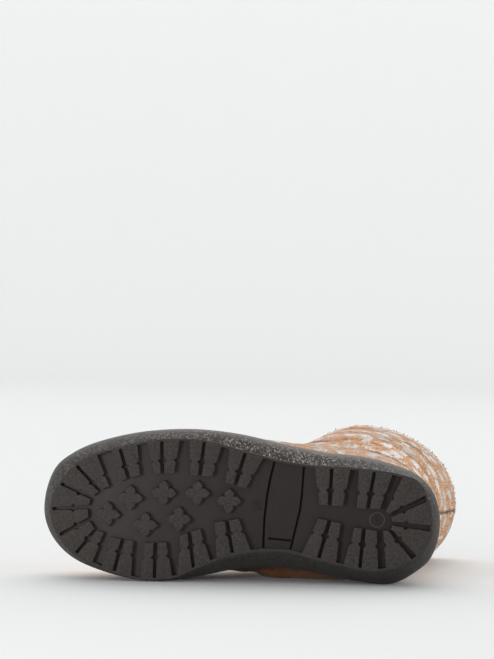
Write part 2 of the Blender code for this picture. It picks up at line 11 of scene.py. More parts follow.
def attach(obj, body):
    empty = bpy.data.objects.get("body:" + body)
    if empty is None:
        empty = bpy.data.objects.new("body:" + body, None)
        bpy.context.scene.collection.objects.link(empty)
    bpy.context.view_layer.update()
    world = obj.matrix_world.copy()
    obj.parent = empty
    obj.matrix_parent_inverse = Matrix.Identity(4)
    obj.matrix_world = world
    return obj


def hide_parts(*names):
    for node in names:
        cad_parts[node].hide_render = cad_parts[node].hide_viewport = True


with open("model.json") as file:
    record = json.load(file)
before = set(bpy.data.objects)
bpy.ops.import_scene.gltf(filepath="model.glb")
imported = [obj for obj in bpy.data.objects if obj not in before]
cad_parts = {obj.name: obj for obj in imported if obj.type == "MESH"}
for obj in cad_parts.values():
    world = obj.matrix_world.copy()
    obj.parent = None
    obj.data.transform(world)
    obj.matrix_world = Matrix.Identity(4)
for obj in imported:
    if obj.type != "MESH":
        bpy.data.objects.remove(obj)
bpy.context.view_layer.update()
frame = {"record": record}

# A left mukluk boot on its inner side. All shapes are drawn in the boot's own axes (x from heel to toe,
# y to the outer side, z up from the ground) and laid down with the frame's two tread mounts.
boot = {
    "length": 0.275,
    "ballWidth": 0.104,
    "heelThickness": 0.031,
    "forefootThickness": 0.024,
    "toeSpring": 0.012,
    "archRise": 0.002,
    "springStart": 0.70,  # shares of the length from here on
    "archStart": 0.22,
    "archTop": 0.39,
    "archEnd": 0.57,
    "thinStart": 0.30,
    "thinEnd": 0.60,
    "heelMount": (0.156, 0.25),  # where the two mounts sit: shares of length and ball width
    "foreMount": (0.657, -0.017),
}

camera = {
    "place": (-0.0132, -1.924, 0.1746),
    "rollDegrees": 1.2,
    "focalPixels": 2626.0,  # in the photograph's 494 x 659 frame
    "framePixels": 659.0,
    "sensor": 36.0,
}


def addNode(tree, kind, inputs=None, **settings):  # an input is a value, a socket, or a node for its first output
    node = tree.nodes.new(kind)
    for name, value in settings.items():
        setattr(node, name, value)
    for name, value in (inputs or {}).items():
        if isinstance(value, bpy.types.Node):
            value = value.outputs[0]
        if isinstance(value, bpy.types.NodeSocket):
            tree.links.new(value, node.inputs[name])
        else:
            node.inputs[name].default_value = value
    return node


def toLinear(hexColour):
    parts = [int(hexColour[place:place + 2], 16) / 255.0 for place in (1, 3, 5)]
    return (*(part / 12.92 if part <= 0.04045 else ((part + 0.055) / 1.055) ** 2.4 for part in parts), 1.0)


def perMetre(millimetres):
    return 1000.0 / millimetres


def newMaterial(name, **shaderValues):
    material = bpy.data.materials.new(name)
    material.use_nodes = True
    shader = material.node_tree.nodes["Principled BSDF"]
    for socket, value in shaderValues.items():
        shader.inputs[socket.replace("_", " ")].default_value = value
    return material, material.node_tree, shader


def surfaced(tree, shader, colour, height, strength, depth):  # gives a material its colour and its bump
    bump = addNode(tree, "ShaderNodeBump", {"Height": height, "Strength": strength, "Distance": depth})
    tree.links.new(colour, shader.inputs["Base Color"])
    tree.links.new(bump.outputs["Normal"], shader.inputs["Normal"])


def smoothStep(low, high, x):
    t = np.clip((np.asarray(x, float) - low) / (high - low), 0.0, 1.0)
    return t * t * (3.0 - 2.0 * t)


def soleThickness(along):
    thinned = smoothStep(boot["thinStart"] * boot["length"], boot["thinEnd"] * boot["length"], along)
    return boot["heelThickness"] + (boot["forefootThickness"] - boot["heelThickness"]) * thinned


def bendLift(along):
    share = np.asarray(along, float) / boot["length"]
    toe = np.clip((share - boot["springStart"]) / (1.0 - boot["springStart"]), 0.0, 1.3)
    rising = smoothStep(boot["archStart"], boot["archTop"], share)
    arch = rising - smoothStep(boot["archTop"], boot["archEnd"], share)
    return boot["toeSpring"] * toe**1.8 + boot["archRise"] * arch


def lifted(points):
    points = np.array(points, float)
    points[..., 2] += bendLift(points[..., 0])
    return points


def layingMatrix():
    mounts = {mount["name"]: mount for mount in frame["record"]["mounts"]}
    heel, fore = (Vector(mounts[name]["pos_m"]) for name in ("tread_heel", "tread_forefoot"))
    up = -Vector(mounts["tread_heel"]["axis"]).normalized()
    (u0, v0), (u1, v1) = boot["heelMount"], boot["foreMount"]
    a = (u1 - u0) * boot["length"]
    b = (v1 - v0) * boot["ballWidth"]
    run = fore - heel
    toToe = ((run * a - up.cross(run) * b) / (a * a + b * b)).normalized()
    aside = up.cross(toToe)
    origin = heel - toToe * (u0 * boot["length"]) - aside * (v0 * boot["ballWidth"])
    turn = Matrix((toToe, aside, up)).transposed().to_4x4()
    return Matrix.Translation(origin) @ turn


toRow = layingMatrix()


def inRow(points):
    matrix = np.array(toRow)
    return np.asarray(points, float) @ matrix[:3, :3].T + matrix[:3, 3]


denseHalf = 600  # steps of a half ring before its points are spread evenly


def hermite(t, start, enter, end, leave):
    return (
        (2 * t**3 - 3 * t**2 + 1) * start
        + (t**3 - 2 * t**2 + t) * enter
        + (3 * t**2 - 2 * t**3) * end
        + (t**3 - t**2) * leave
    )


def fullness(angles, shares, widths):
    at = np.arccos(1.0 - 2.0 * np.asarray(shares))
    full = np.asarray(widths) / np.sin(at)
    slopes = np.gradient(full, at)
    slopes[0] = slopes[-1] = 0.0
    x = np.clip(angles, at[0], at[-1])
    row = np.clip(np.searchsorted(at, x, side="right") - 1, 0, len(at) - 2)
    step = at[row + 1] - at[row]
    return hermite((x - at[row]) / step, full[row], step * slopes[row], full[row + 1], step * slopes[row + 1])


def planRing(back, front, rows):  # back, outer side, toe, inner side
    angles = np.linspace(0.0, math.pi, denseHalf + 1)
    shares, lateral, medial = (np.array(column) for column in zip(*rows))
    along = back + (front - back) * (1.0 - np.cos(angles)) / 2.0
    left = np.sin(angles) * fullness(angles, shares, lateral)
    right = np.sin(angles) * fullness(angles, shares, medial)
    return np.concatenate([np.stack([along, left], axis=1), np.stack([along, -right], axis=1)[-2:0:-1]])


def outwards(ring):
    tangent = np.roll(ring, -1, axis=0) - np.roll(ring, 1, axis=0)
    normal = np.stack([tangent[:, 1], -tangent[:, 0]], axis=1)
    if ((ring - ring.mean(axis=0)) * normal).sum() < 0:
        normal = -normal
    return normal / np.linalg.norm(normal, axis=1, keepdims=True)


def inset(ring, distance):
    return ring - outwards(ring) * distance


def raised(ring, height):
    return np.column_stack([ring, np.broadcast_to(height, len(ring))])


def evenPlaces(ring, halfCount):  # fractional indices that share out each half's length evenly
    places = []
    for first, last in ((0, denseHalf), (denseHalf, 2 * denseHalf)):
        half = ring[np.arange(first, last + 1) % len(ring)]
        run = np.concatenate([[0.0], np.cumsum(np.linalg.norm(np.diff(half, axis=0), axis=1))])
        wanted = np.linspace(0.0, run[-1], halfCount + 1)[:-1]
        places.append(np.interp(wanted, run, np.arange(first, last + 1)))
    return np.concatenate(places)


def picked(ring, places):
    low = np.floor(places).astype(int) % len(ring)
    part = (places - np.floor(places))[:, None]
    return ring[low] * (1.0 - part) + ring[(low + 1) % len(ring)] * part


def curveThrough(rows, place):
    last = len(rows) - 1
    low = min(int(place), last - 1)
    before, after = rows[max(low - 1, 0)], rows[min(low + 2, last)]
    enter, leave = (rows[low + 1] - before) / 2.0, (after - rows[low]) / 2.0
    return hermite(place - low, rows[low], enter, rows[low + 1], leave)


def gridNormals(rows):
    around = np.roll(rows, -1, axis=1) - np.roll(rows, 1, axis=1)
    across = np.gradient(rows, axis=0)
    normal = np.cross(around, across)
    return normal / np.maximum(np.linalg.norm(normal, axis=2, keepdims=True), 1e-12)


def gridFaces(rowCount, count, closed=False):
    last = rowCount if closed else rowCount - 1
    row, column = np.meshgrid(np.arange(last), np.arange(count), indexing="ij")
    above, beside = (row + 1) % rowCount, (column + 1) % count
    corners = [row * count + column, row * count + beside, above * count + beside, above * count + column]
    return np.stack(corners, axis=-1).reshape(-1, 4)


def ladderFaces(first, count):
    faces = []
    for k in range(count // 2):
        corners = [first + k, first + k + 1, first + (count - k - 1) % count, first + (count - k) % count]
        faces.append(list(dict.fromkeys(corners)))
    return faces


@contextmanager
def editing(mesh):
    work = bmesh.new()
    work.from_mesh(mesh)
    yield work
    work.to_mesh(mesh)
    work.free()


def linked(name, data):
    item = bpy.data.objects.new(name, data)
    bpy.context.scene.collection.objects.link(item)
    return item


def meshFrom(name, points, faces, materials, materialOfFace=None):
    mesh = bpy.data.meshes.new(name)
    mesh.from_pydata(inRow(points).tolist(), [], [list(face) for face in faces])
    for material in materials:
        mesh.materials.append(material)
    if materialOfFace is not None:
        mesh.polygons.foreach_set("material_index", np.asarray(materialOfFace, np.int32))
    with editing(mesh) as work:
        bmesh.ops.recalc_face_normals(work, faces=work.faces)
    mesh.shade_smooth()
    return linked(name, mesh)


def asMesh(item):
    bpy.context.view_layer.update()
    graph = bpy.context.evaluated_depsgraph_get()
    return bpy.data.meshes.new_from_object(item.evaluated_get(graph))


def drawnMesh(curve):  # the mesh of a curve or text, which is then put away
    item = linked(curve.name, curve)
    mesh = asMesh(item)
    bpy.data.objects.remove(item, do_unlink=True)
    return mesh


def storeValues(mesh, name, kind, values, rest=0):  # points past the values get the rest
    values = np.asarray(values, np.int32 if kind == "INT" else np.float32)
    whole = np.full((len(mesh.vertices), *values.shape[1:]), rest, values.dtype)
    whole[:len(values)] = values
    layer = mesh.attributes.new(name, kind, "POINT")
    layer.data.foreach_set("vector" if kind == "FLOAT_VECTOR" else "value", whole.reshape(-1))


def handOver(item, node=None):
    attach(item, "root")
    if node:
        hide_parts(node)


# The sole

sole = {
    "treadBack": 0.0065,  # the tread's edge inside the sole's ends
    "treadFront": 0.0055,
    "lipInset": 0.0042,
    "lipWidth": 0.0022,
    "cupDepth": 0.0030,
    "lugHeight": 0.0045,
    "rim": 0.0014,
    "lugNotch": 0.0016,
    "toeGroove": 0.0024,
    "heelGroove": 0.0050,
    "crossReach": 0.0086,
    "shankGroove": (0.0016, 0.0014),  # width, depth
    "ringSizes": (0.0055, 0.0009, 0.0010),  # radius, width, height
    "edgeRound": 0.00035,
    "step": 0.0004,  # the tread stands proud of the side by this
    "bodyTop": 0.009,  # where the side covers the tread's body
    "bodySunk": 0.002,  # and how much further the body goes
    "cutterDepth": 0.006,  # how far the cutting solids reach out, and past each other
    "cutterClear": 0.001,
    "weld": 0.00002,
    "flatAngle": 0.003,  # radians; flatter edges are dissolved
    "treadCount": 150,  # steps along each half of the tread's edge
    "bendCuts": 24,
    "halfCount": 540,  # steps along each half of the side
    "grain": 0.0013,  # pebbles of the side, crest to crest
    "grainHeight": 0.00050,
    "grainMiddle": 0.45,
    "grainSeed": 4.0,
    "grainFade": (0.88, 0.30, 0.85),  # how much of it goes, and between which shares of the way up
    "grainBest": (0.40, 0.28),  # it is crispest here on the outer side: share of the length, reach
    "grainLeft": (0.24, 0.06),  # how much is left at the outer side's ends and on the inner side
    "grainPaintedLight": (0.11, 0.22, 0.04),  # painted light: how pale the outer side is painted, as it faces up to the light, more where crispest, and how dark the inner side facing the floor is painted
    "grainTurn": 0.05,  # share of the way round over which the outer side turns into the inner one
    "numberHeight": 0.0008,
}

# Share of the length from the heel, outer and inner half widths as shares of the ball width
outlineRows = (
    (0.010, 0.155, 0.165), (0.050, 0.305, 0.308), (0.111, 0.380, 0.403), (0.192, 0.429, 0.402),
    (0.300, 0.453, 0.362), (0.420, 0.503, 0.334), (0.510, 0.549, 0.353), (0.610, 0.571, 0.413),
    (0.730, 0.550, 0.448), (0.860, 0.464, 0.393), (0.936, 0.363, 0.304), (0.987, 0.197, 0.146),
)
treadRows = (
    (0.021, 0.231, 0.160), (0.092, 0.344, 0.276), (0.141, 0.361, 0.303), (0.236, 0.376, 0.276),
    (0.300, 0.376, 0.244), (0.373, 0.389, 0.205), (0.438, 0.417, 0.206), (0.527, 0.470, 0.247),
    (0.600, 0.510, 0.326), (0.666, 0.515, 0.405), (0.731, 0.500, 0.430), (0.813, 0.448, 0.404),
    (0.883, 0.392, 0.345), (0.943, 0.298, 0.268), (0.977, 0.190, 0.172),
)
# Share of the way out and of the thickness, then how many rows reach the next point
flareRows = ((0.00, 0.00, 3), (0.14, 0.05, 9), (0.62, 0.27, 7), (0.90, 0.45, 7), (1.00, 0.60, 6))
# Share of the lip's inset and of the thickness, then rows as above
shoulderRows = ((0.12, 0.76, 5), (0.42, 0.90, 4), (1.00, 1.00, 4))

# Side, outer ends of toe edge, groove and heel edge, inner ends of the same, reach at toe and heel edge
lugPairs = (
    (1, 0.833, 0.812, 0.769, 0.808, 0.786, 0.757, 0.214, 0.261),
    (1, 0.746, 0.708, 0.662, 0.722, 0.702, 0.673, 0.272, 0.286),
    (1, 0.639, 0.601, 0.557, 0.633, 0.609, 0.578, 0.278, 0.272),
    (1, 0.537, 0.497, 0.451, 0.545, 0.520, 0.492, 0.240, 0.205),
    (-1, 0.845, 0.814, 0.770, 0.825, 0.794, 0.767, 0.159, 0.178),
    (-1, 0.746, 0.711, 0.666, 0.740, 0.712, 0.685, 0.187, 0.173),
    (-1, 0.654, 0.614, 0.572, 0.652, 0.629, 0.602, 0.123, 0.076),
    (-1, 0.557, 0.518, 0.472, 0.568, 0.537, 0.507, 0.028, -0.003),
    (1, 0.324, 0.281, 0.234, 0.308, 0.282, 0.249, 0.116, 0.118),
    (1, 0.214, 0.174, 0.128, 0.215, 0.187, 0.156, 0.108, 0.108),
    (-1, 0.347, 0.304, 0.260, 0.310, 0.281, 0.252, -0.029, -0.002),
    (-1, 0.242, 0.200, 0.154, 0.218, 0.194, 0.161, 0.018, 0.035),
)
# Radial lines: outer end and inner end, each as station and width
toeLines = (
    (0.866, 0.368, 0.833, 0.178), (0.910, 0.280, 0.857, 0.147), (0.959, 0.178, 0.878, 0.098),
    (0.986, 0.000, 0.886, 0.031), (0.966, -0.185, 0.883, -0.052), (0.914, -0.294, 0.864, -0.118),
    (0.869, -0.343, 0.842, -0.131),
)
heelLines = (
    (0.104, 0.328, 0.142, 0.098), (0.047, 0.186, 0.129, 0.073), (0.029, -0.005, 0.123, 0.018),
    (0.067, -0.196, 0.128, -0.032), (0.134, -0.288, 0.147, -0.029),
)
# A bottle lug's side from the tread's edge inwards: share of its length, share of the notch
lugSide = ((-0.30, 0.0), (0.545, 0.0), (0.575, 0.6), (0.605, 1.0), (0.640, 0.9), (0.670, 0.15), (1.00, 0.08))
crosses = (
    (0.835, -0.008), (0.780, 0.109), (0.697, 0.153), (0.613, 0.161), (0.534, 0.118), (0.740, -0.065),
    (0.657, -0.017),
)
# One lobe: out and aside, as shares of the reach
crossLobe = (
    (0.30, -0.30), (0.44, -0.39), (0.62, -0.37), (0.82, -0.22), (1.00, 0.00), (0.82, 0.22), (0.62, 0.37),
    (0.44, 0.39),
)
shankLines = (
    ((0.424, 0.385), (0.433, 0.270), (0.439, 0.150), (0.443, 0.004), (0.443, -0.130), (0.442, -0.200)),
    ((0.350, 0.362), (0.351, 0.260), (0.352, 0.162), (0.355, 0.070), (0.361, -0.010), (0.371, -0.150),
     (0.375, -0.196)),
    ((0.431, -0.125), (0.374, -0.134)),
)
ringCentre = (0.161, 0.033)
# A plain size number on the waist and a plain number in the ring: text, place, height, turned on its side
numbers = (
    ("38", (0.463, 0.090), 0.0084, True),
    ("6", (0.161, 0.033), 0.0074, False),
)


def soleRing(back, front, table):
    return planRing(back, front, [(s, a * boot["ballWidth"], b * boot["ballWidth"]) for s, a, b in table])


def soleOutline():
    return soleRing(0.0, boot["length"], outlineRows)


def treadOutline():
    return soleRing(sole["treadBack"], boot["length"] - sole["treadFront"], treadRows)


def inPlan(station, width):
    return np.array([station * boot["length"], width * boot["ballWidth"]])


def grainAt(point):  # domed cells with sharp troughs, some cells higher than others
    shifted = point + Vector((sole["grainSeed"],) * 3)
    near, centres = noise.voronoi(shifted / sole["grain"])
    return float(smoothStep(0.02, 0.42, near[1] - near[0])) * (0.6 + 0.55 * noise.cell(centres[0] * 7.3))


def atThickness(plan, share):
    return raised(plan, share * soleThickness(plan[:, 0]))


def sideRows():
    edge, outline = treadOutline(), soleOutline()
    rows = [atThickness(edge + (outline - edge) * out, height) for out, height, _ in flareRows]
    lip = sole["lipInset"]
    rows += [atThickness(inset(outline, lip * share), height) for share, height, _ in shoulderRows]
    rows.append(atThickness(inset(outline, lip + sole["lipWidth"]), 1.0))
    rows[0][:, 2] += sole["step"]
    places = evenPlaces(outline, sole["halfCount"])
    rows = [picked(row, places) for row in rows]
    side, counts = [rows[0]], [row[2] for row in flareRows + shoulderRows]
    for low, count in enumerate(counts):
        side += [curveThrough(rows, low + (step + 1) / count) for step in range(count)]
    return np.array(side), sum(counts[:4])


def grainAndPaintedLight(side, grainedRows):  # how crisp the grain is, and its painted light: the outer side, facing up to the light, painted paler than the inner side facing the floor
    row = np.arange(len(side))
    fade, low, high = sole["grainFade"]
    upwards = 1.0 - fade * smoothStep(low, high, row / grainedRows)
    upwards *= smoothStep(0.0, 2.0, row) * (1.0 - smoothStep(len(side) - 8, len(side) - 4, row))
    around = np.arange(side.shape[1]) / side.shape[1]  # 0 at the heel, 0.5 at the toe
    fromTip = np.minimum(0.5 - np.abs(around - 0.5), np.abs(around - 0.5))
    inner = smoothStep(-sole["grainTurn"], sole["grainTurn"], np.where(around > 0.5, fromTip, -fromTip))
    (best, reach), (ends, innerSide) = sole["grainBest"], sole["grainLeft"]
    nearBest = np.exp(-(((side[0, :, 0] / boot["length"] - best) / reach) ** 2))
    crisp = ends + (1.0 - ends) * nearBest
    outerLit, moreLit, innerShaded = sole["grainPaintedLight"]
    tone = outerLit + moreLit * nearBest
    crisp += (innerSide - crisp) * inner
    tone += (innerShaded - tone) * inner
    return upwards[:, None] * crisp, tone


def soleSide(material):
    side, grainedRows = sideRows()
    normals = gridNormals(side)
    if (normals[10, :, 2] > 0).mean() > 0.5:
        normals = -normals
    grain = np.array([[grainAt(Vector(point)) for point in row] for row in side]) - sole["grainMiddle"]
    strength, tone = grainAndPaintedLight(side, grainedRows)
    side += normals * (sole["grainHeight"] * strength * grain)[..., None]
    cup = side[-1].copy()
    cup[:, 2] -= sole["cupDepth"]
    edge = side[0].copy()
    edge[:, :2] = inset(edge[:, :2], sole["rim"])
    hidden = edge.copy()
    hidden[:, 2] = sole["bodyTop"]
    rows = np.concatenate([[hidden, edge], side, [(side[-1] + cup) / 2.0, cup]])
    count = rows.shape[1]
    faces = gridFaces(len(rows), count).tolist()
    faces += ladderFaces(0, count) + ladderFaces((len(rows) - 1) * count, count)
    item = meshFrom("outsole_side", lifted(rows.reshape(-1, 3)), faces, [material])
    values = np.zeros(rows.shape[:2])
    # painted light: the stored grain colour makes the crests pale like glints and the troughs dark like shade,
    # paler on the outer side
    values[2:2 + len(side)] = tone[None, :] + grain * strength
    storeValues(item.data, "grain", "FLOAT", values.reshape(-1))
    return item


def flatSolid(name, outlines, low, high):
    curve = bpy.data.curves.new(name, "CURVE")
    curve.dimensions = "2D"
    curve.fill_mode = "BOTH"
    curve.extrude = (high - low) / 2.0
    for outline in outlines:
        spline = curve.splines.new("POLY")
        spline.points.add(len(outline) - 1)
        for point, (x, y) in zip(spline.points, outline):
            point.co = (x, y, 0.0, 1.0)
        spline.use_cyclic_u = True
    mesh = drawnMesh(curve)
    mesh.transform(Matrix.Translation((0.0, 0.0, (low + high) / 2.0)))
    with editing(mesh) as work:
        bmesh.ops.remove_doubles(work, verts=work.verts, dist=sole["weld"])
        bmesh.ops.recalc_face_normals(work, faces=work.faces)
        bmesh.ops.dissolve_limit(work, angle_limit=sole["flatAngle"], verts=work.verts, edges=work.edges)
    return linked(name, mesh)


def cutWith(target, cutter):
    modifier = target.modifiers.new(cutter.name, "BOOLEAN")
    modifier.operation = "DIFFERENCE"
    modifier.solver = "EXACT"
    modifier.object = cutter


def applied(item):
    mesh = asMesh(item)
    item.modifiers.clear()
    item.data = mesh
    with editing(mesh) as work:
        bmesh.ops.remove_doubles(work, verts=work.verts, dist=sole["weld"])
        bmesh.ops.holes_fill(work, edges=work.edges, sides=4)
        bmesh.ops.dissolve_limit(work, angle_limit=sole["flatAngle"], verts=work.verts, edges=work.edges)


def onEdge(station, side):
    ring = treadOutline()
    half = ring[:denseHalf + 1] if side > 0 else np.concatenate([ring[:1], ring[:denseHalf - 1:-1]])
    along = station * boot["length"]
    return np.array([along, np.interp(along, half[:, 0], half[:, 1])])


def lugBetween(first, second, outerGaps, innerGaps):
    sides = []
    for (outer, inner), (otherOuter, otherInner), wide, narrow in (
        (first, second, outerGaps[0], innerGaps[0]),
        (second, first, outerGaps[1], innerGaps[1]),
    ):
        side = []
        for along, cut in lugSide:
            here = outer + (inner - outer) * along
            there = otherOuter + (otherInner - otherOuter) * along
            across = (there - here) / np.linalg.norm(there - here)
            gap = wide + (narrow - wide) * max(along, 0.0)
            side.append(here + across * (gap / 2.0 + cut * sole["lugNotch"]))
        sides.append(side)
    return sides[0] + sides[1][::-1]


def pairLugs(row):
    side, outer, inner = row[0], row[1:4], row[4:7]
    reaches = (row[7], (row[7] + row[8]) / 2.0, row[8])
    lines = [(onEdge(o, side), inPlan(i, side * reach)) for o, i, reach in zip(outer, inner, reaches)]
    after, before = (0.0, sole["toeGroove"]), (sole["toeGroove"], 0.0)
    return [lugBetween(lines[0], lines[1], after, after), lugBetween(lines[1], lines[2], before, before)]


def fanLugs(rows, outerGap, innerGap):
    lines = [(inPlan(*row[:2]), inPlan(*row[2:])) for row in rows]
    lugs = []
    for place, (first, second) in enumerate(zip(lines, lines[1:])):
        inside = (float(place > 0), float(place < len(lines) - 2))
        wide = tuple(outerGap * share for share in inside)
        narrow = tuple(innerGap * share for share in inside)
        lugs.append(lugBetween(first, second, wide, narrow))
    return lugs


def crossLug(centre):
    points = []
    for quarter in range(4):
        turn = quarter * math.pi / 2.0
        for out, aside in crossLobe:
            x = sole["crossReach"] * (out * math.cos(turn) - aside * math.sin(turn))
            y = sole["crossReach"] * (out * math.sin(turn) + aside * math.cos(turn))
            points.append(inPlan(*centre) + np.array([x, y]))
    return points


def grooveStrip(line, width):
    points = np.array([inPlan(*point) for point in line])
    way = np.gradient(points, axis=0)
    way /= np.linalg.norm(way, axis=1, keepdims=True)
    aside = np.stack([-way[:, 1], way[:, 0]], axis=1) * width / 2.0
    return list(points + aside) + list((points - aside)[::-1])


def isLugTop(face):
    return abs(face.calc_center_median().z) < 1e-5 and face.normal.z < -0.99


def roundTopEdges(item):
    with editing(item.data) as work:
        chosen = [edge for edge in work.edges if sorted(map(isLugTop, edge.link_faces)) == [False, True]]
        bmesh.ops.bevel(work, geom=chosen, offset=sole["edgeRound"], segments=2, profile=0.5, affect="EDGES",
                        clamp_overlap=True)


def bendTread(item):
    with editing(item.data) as work:
        for cut in np.linspace(boot["archStart"], 1.0, sole["bendCuts"]) * boot["length"]:
            everything = work.verts[:] + work.edges[:] + work.faces[:]
            bmesh.ops.bisect_plane(work, geom=everything, dist=0.00001, plane_co=(cut, 0, 0),
                                   plane_no=(1, 0, 0))
        for vert in work.verts:
            vert.co.z += float(bendLift(vert.co.x))
        bmesh.ops.triangulate(work, faces=work.faces)


def soleNumber(text, place, height, onSide):
    letters = bpy.data.curves.new("number", "FONT")
    letters.body = text
    letters.size = height
    letters.align_x = letters.align_y = "CENTER"
    letters.extrude = sole["numberHeight"]
    letters.resolution_u = 3
    mesh = drawnMesh(letters)
    right, up = (Vector((0, 1, 0)), Vector((1, 0, 0))) if onSide else (Vector((-1, 0, 0)), Vector((0, 1, 0)))
    turn = Matrix((right, up, Vector((0, 0, -1)))).transposed().to_4x4()
    x, y = inPlan(*place)
    mesh.transform(Matrix.Translation((x, y, sole["lugHeight"])) @ turn)
    return mesh


def heelRing():  # half sunk in the heel
    radius, width, height = sole["ringSizes"]
    around, profile = 48, 8
    x, y = inPlan(*ringCentre)
    points = []
    for turn in np.arange(around) * math.tau / around:
        for angle in np.arange(profile) * math.tau / profile:
            reach = radius - width / 2.0 + width / 2.0 * math.cos(angle)
            z = sole["lugHeight"] + height * math.sin(angle) * 0.8
            points.append((x + reach * math.cos(turn), y + reach * math.sin(turn), z))
    mesh = bpy.data.meshes.new("ring")
    mesh.from_pydata(points, [], gridFaces(around, profile, closed=True).tolist())
    return mesh


def treadMaterial(face):  # by how deep the face lies behind the lug tops
    x, _, z = face.center
    depth = z - float(bendLift(x))
    # painted shade: the groove bottoms get the nearly black rubber
    if sole["lugHeight"] + 0.0002 < depth < sole["bodyTop"] - 0.0005:
        return 2
    # painted highlight: the raised numbers and ring get the paler rubber
    if face.normal.z < -0.6 and 0.001 < depth < sole["lugHeight"] - 0.0004:
        return 3
    return int(depth < 0.0003 and face.normal.z < -0.9)


def soleTread(materials):  # those of the floor between the lugs, the lug tops, the grooves, the numbers
    edge = treadOutline()
    places = evenPlaces(edge, sole["treadCount"])
    body = flatSolid("outsole_tread", [picked(edge, places)], 0.0, sole["bodyTop"] + sole["bodySunk"])
    lugs = [lug for row in lugPairs for lug in pairLugs(row)]
    lugs += fanLugs(toeLines, sole["toeGroove"], sole["toeGroove"])
    lugs += fanLugs(heelLines, sole["heelGroove"], sole["toeGroove"])
    lugs += [crossLug(centre) for centre in crosses]
    top, clear = sole["lugHeight"], sole["cutterClear"]
    pocket = flatSolid("pocket", [picked(inset(edge, sole["rim"]), places)], -sole["cutterDepth"], top)
    kept = flatSolid("lugs", lugs, -sole["cutterDepth"] - clear, top + clear)
    cutWith(pocket, kept)
    applied(pocket)
    cutWith(body, pocket)
    width, depth = sole["shankGroove"]
    strips = [grooveStrip(line, width) for line in shankLines]
    grooves = [flatSolid("groove", [strip], top - clear, top + depth) for strip in strips]
    for groove in grooves:
        cutWith(body, groove)
    applied(body)
    roundTopEdges(body)
    with editing(body.data) as work:
        for mesh in [heelRing()] + [soleNumber(*number) for number in numbers]:
            work.from_mesh(mesh)
        bmesh.ops.recalc_face_normals(work, faces=work.faces)
    bendTread(body)
    body.data.materials.clear()
    for material in materials:
        body.data.materials.append(material)
    for face in body.data.polygons:
        face.material_index = treadMaterial(face)
    for item in (pocket, kept, *grooves):
        bpy.data.objects.remove(item, do_unlink=True)
    body.data.transform(toRow)
    body.data.shade_smooth()
    body.data.set_sharp_from_angle(angle=math.radians(40))
    return body


def smoothSoleRubber():  # moulded thermoplastic rubber, satin, nearly black brown
    material, tree, shader = newMaterial("smooth_moulded_rubber", Specular_IOR_Level=0.16)
    place = addNode(tree, "ShaderNodeTexCoord").outputs["Object"]
    cloudy = addNode(tree, "ShaderNodeTexNoise", {"Vector": place, "Scale": perMetre(14)})
    along = addNode(tree, "ShaderNodeSeparateXYZ", {0: place})
    toToe = addNode(tree, "ShaderNodeMapRange", {"Value": along, "From Min": 0.02, "From Max": -0.13})
    # painted light: the rubber is painted paler towards the toe, where the light from the toe's side falls
    share = addNode(tree, "ShaderNodeMath", {0: cloudy, 1: 0.45, 2: toToe}, operation="MULTIPLY_ADD")
    rough = addNode(tree, "ShaderNodeMapRange", {"Value": cloudy, "To Min": 0.48, "To Max": 0.66})
    tree.links.new(rough.outputs[0], shader.inputs["Roughness"])
    colours = {"Factor": share, 6: toLinear("#211C1B"), 7: toLinear("#342E2D")}
    colour = addNode(tree, "ShaderNodeMix", colours, data_type="RGBA").outputs[2]
    fine = addNode(tree, "ShaderNodeTexNoise", {"Vector": place, "Scale": perMetre(0.9)})
    surfaced(tree, shader, colour, fine, 0.4, 0.00008)
    return material


def texturedSoleRubber():  # the same rubber off a spark eroded mould face: a dull, slightly paler fine grain
    material, tree, shader = newMaterial("spark_textured_rubber", Roughness=0.8, Specular_IOR_Level=0.22)
    place = addNode(tree, "ShaderNodeTexCoord").outputs["Object"]
    # drawn coarse enough to show
    fine = addNode(tree, "ShaderNodeTexNoise", {"Vector": place, "Scale": perMetre(1.1), "Detail": 3.0})
    spread = addNode(tree, "ShaderNodeMapRange", {"Value": fine, "From Min": 0.36, "From Max": 0.64})
    # partly painted shade: the grain's own tone follows its bump, darker in the pits and paler on the tops
    colours = {"Factor": spread, 6: toLinear("#2C2725"), 7: toLinear("#3C3735")}
    colour = addNode(tree, "ShaderNodeMix", colours, data_type="RGBA").outputs[2]
    surfaced(tree, shader, colour, fine, 0.7, 0.00025)
    return material


def plainRubber(name, colour, roughness, specular):
    return newMaterial(name, Roughness=roughness, Specular_IOR_Level=specular, Base_Color=toLinear(colour))[0]


def pebbledSoleRubber():  # the sole's grained side: glossy crests between dull troughs
    material, tree, shader = newMaterial("pebbled_rubber", Specular_IOR_Level=0.5)
    place = addNode(tree, "ShaderNodeTexCoord").outputs["Object"]
    grain = addNode(tree, "ShaderNodeAttribute", attribute_name="grain").outputs["Fac"]
    fine = addNode(tree, "ShaderNodeTexNoise", {"Vector": place, "Scale": perMetre(1.0), "Detail": 3.0})
    both = addNode(tree, "ShaderNodeMath", {0: grain, 1: fine}, operation="MULTIPLY")
    rough = addNode(tree, "ShaderNodeMapRange", {"Value": both, "To Min": 0.62, "To Max": 0.28})
    tree.links.new(rough.outputs[0], shader.inputs["Roughness"])
    # painted light: crests painted pale like lit glints, troughs nearly black like shade
    colours = {"Factor": grain, 6: toLinear("#110E0C"), 7: toLinear("#A79B91")}
    colour = addNode(tree, "ShaderNodeMix", colours, data_type="RGBA").outputs[2]
    surfaced(tree, shader, colour, fine, 0.9, 0.0005)
    return material


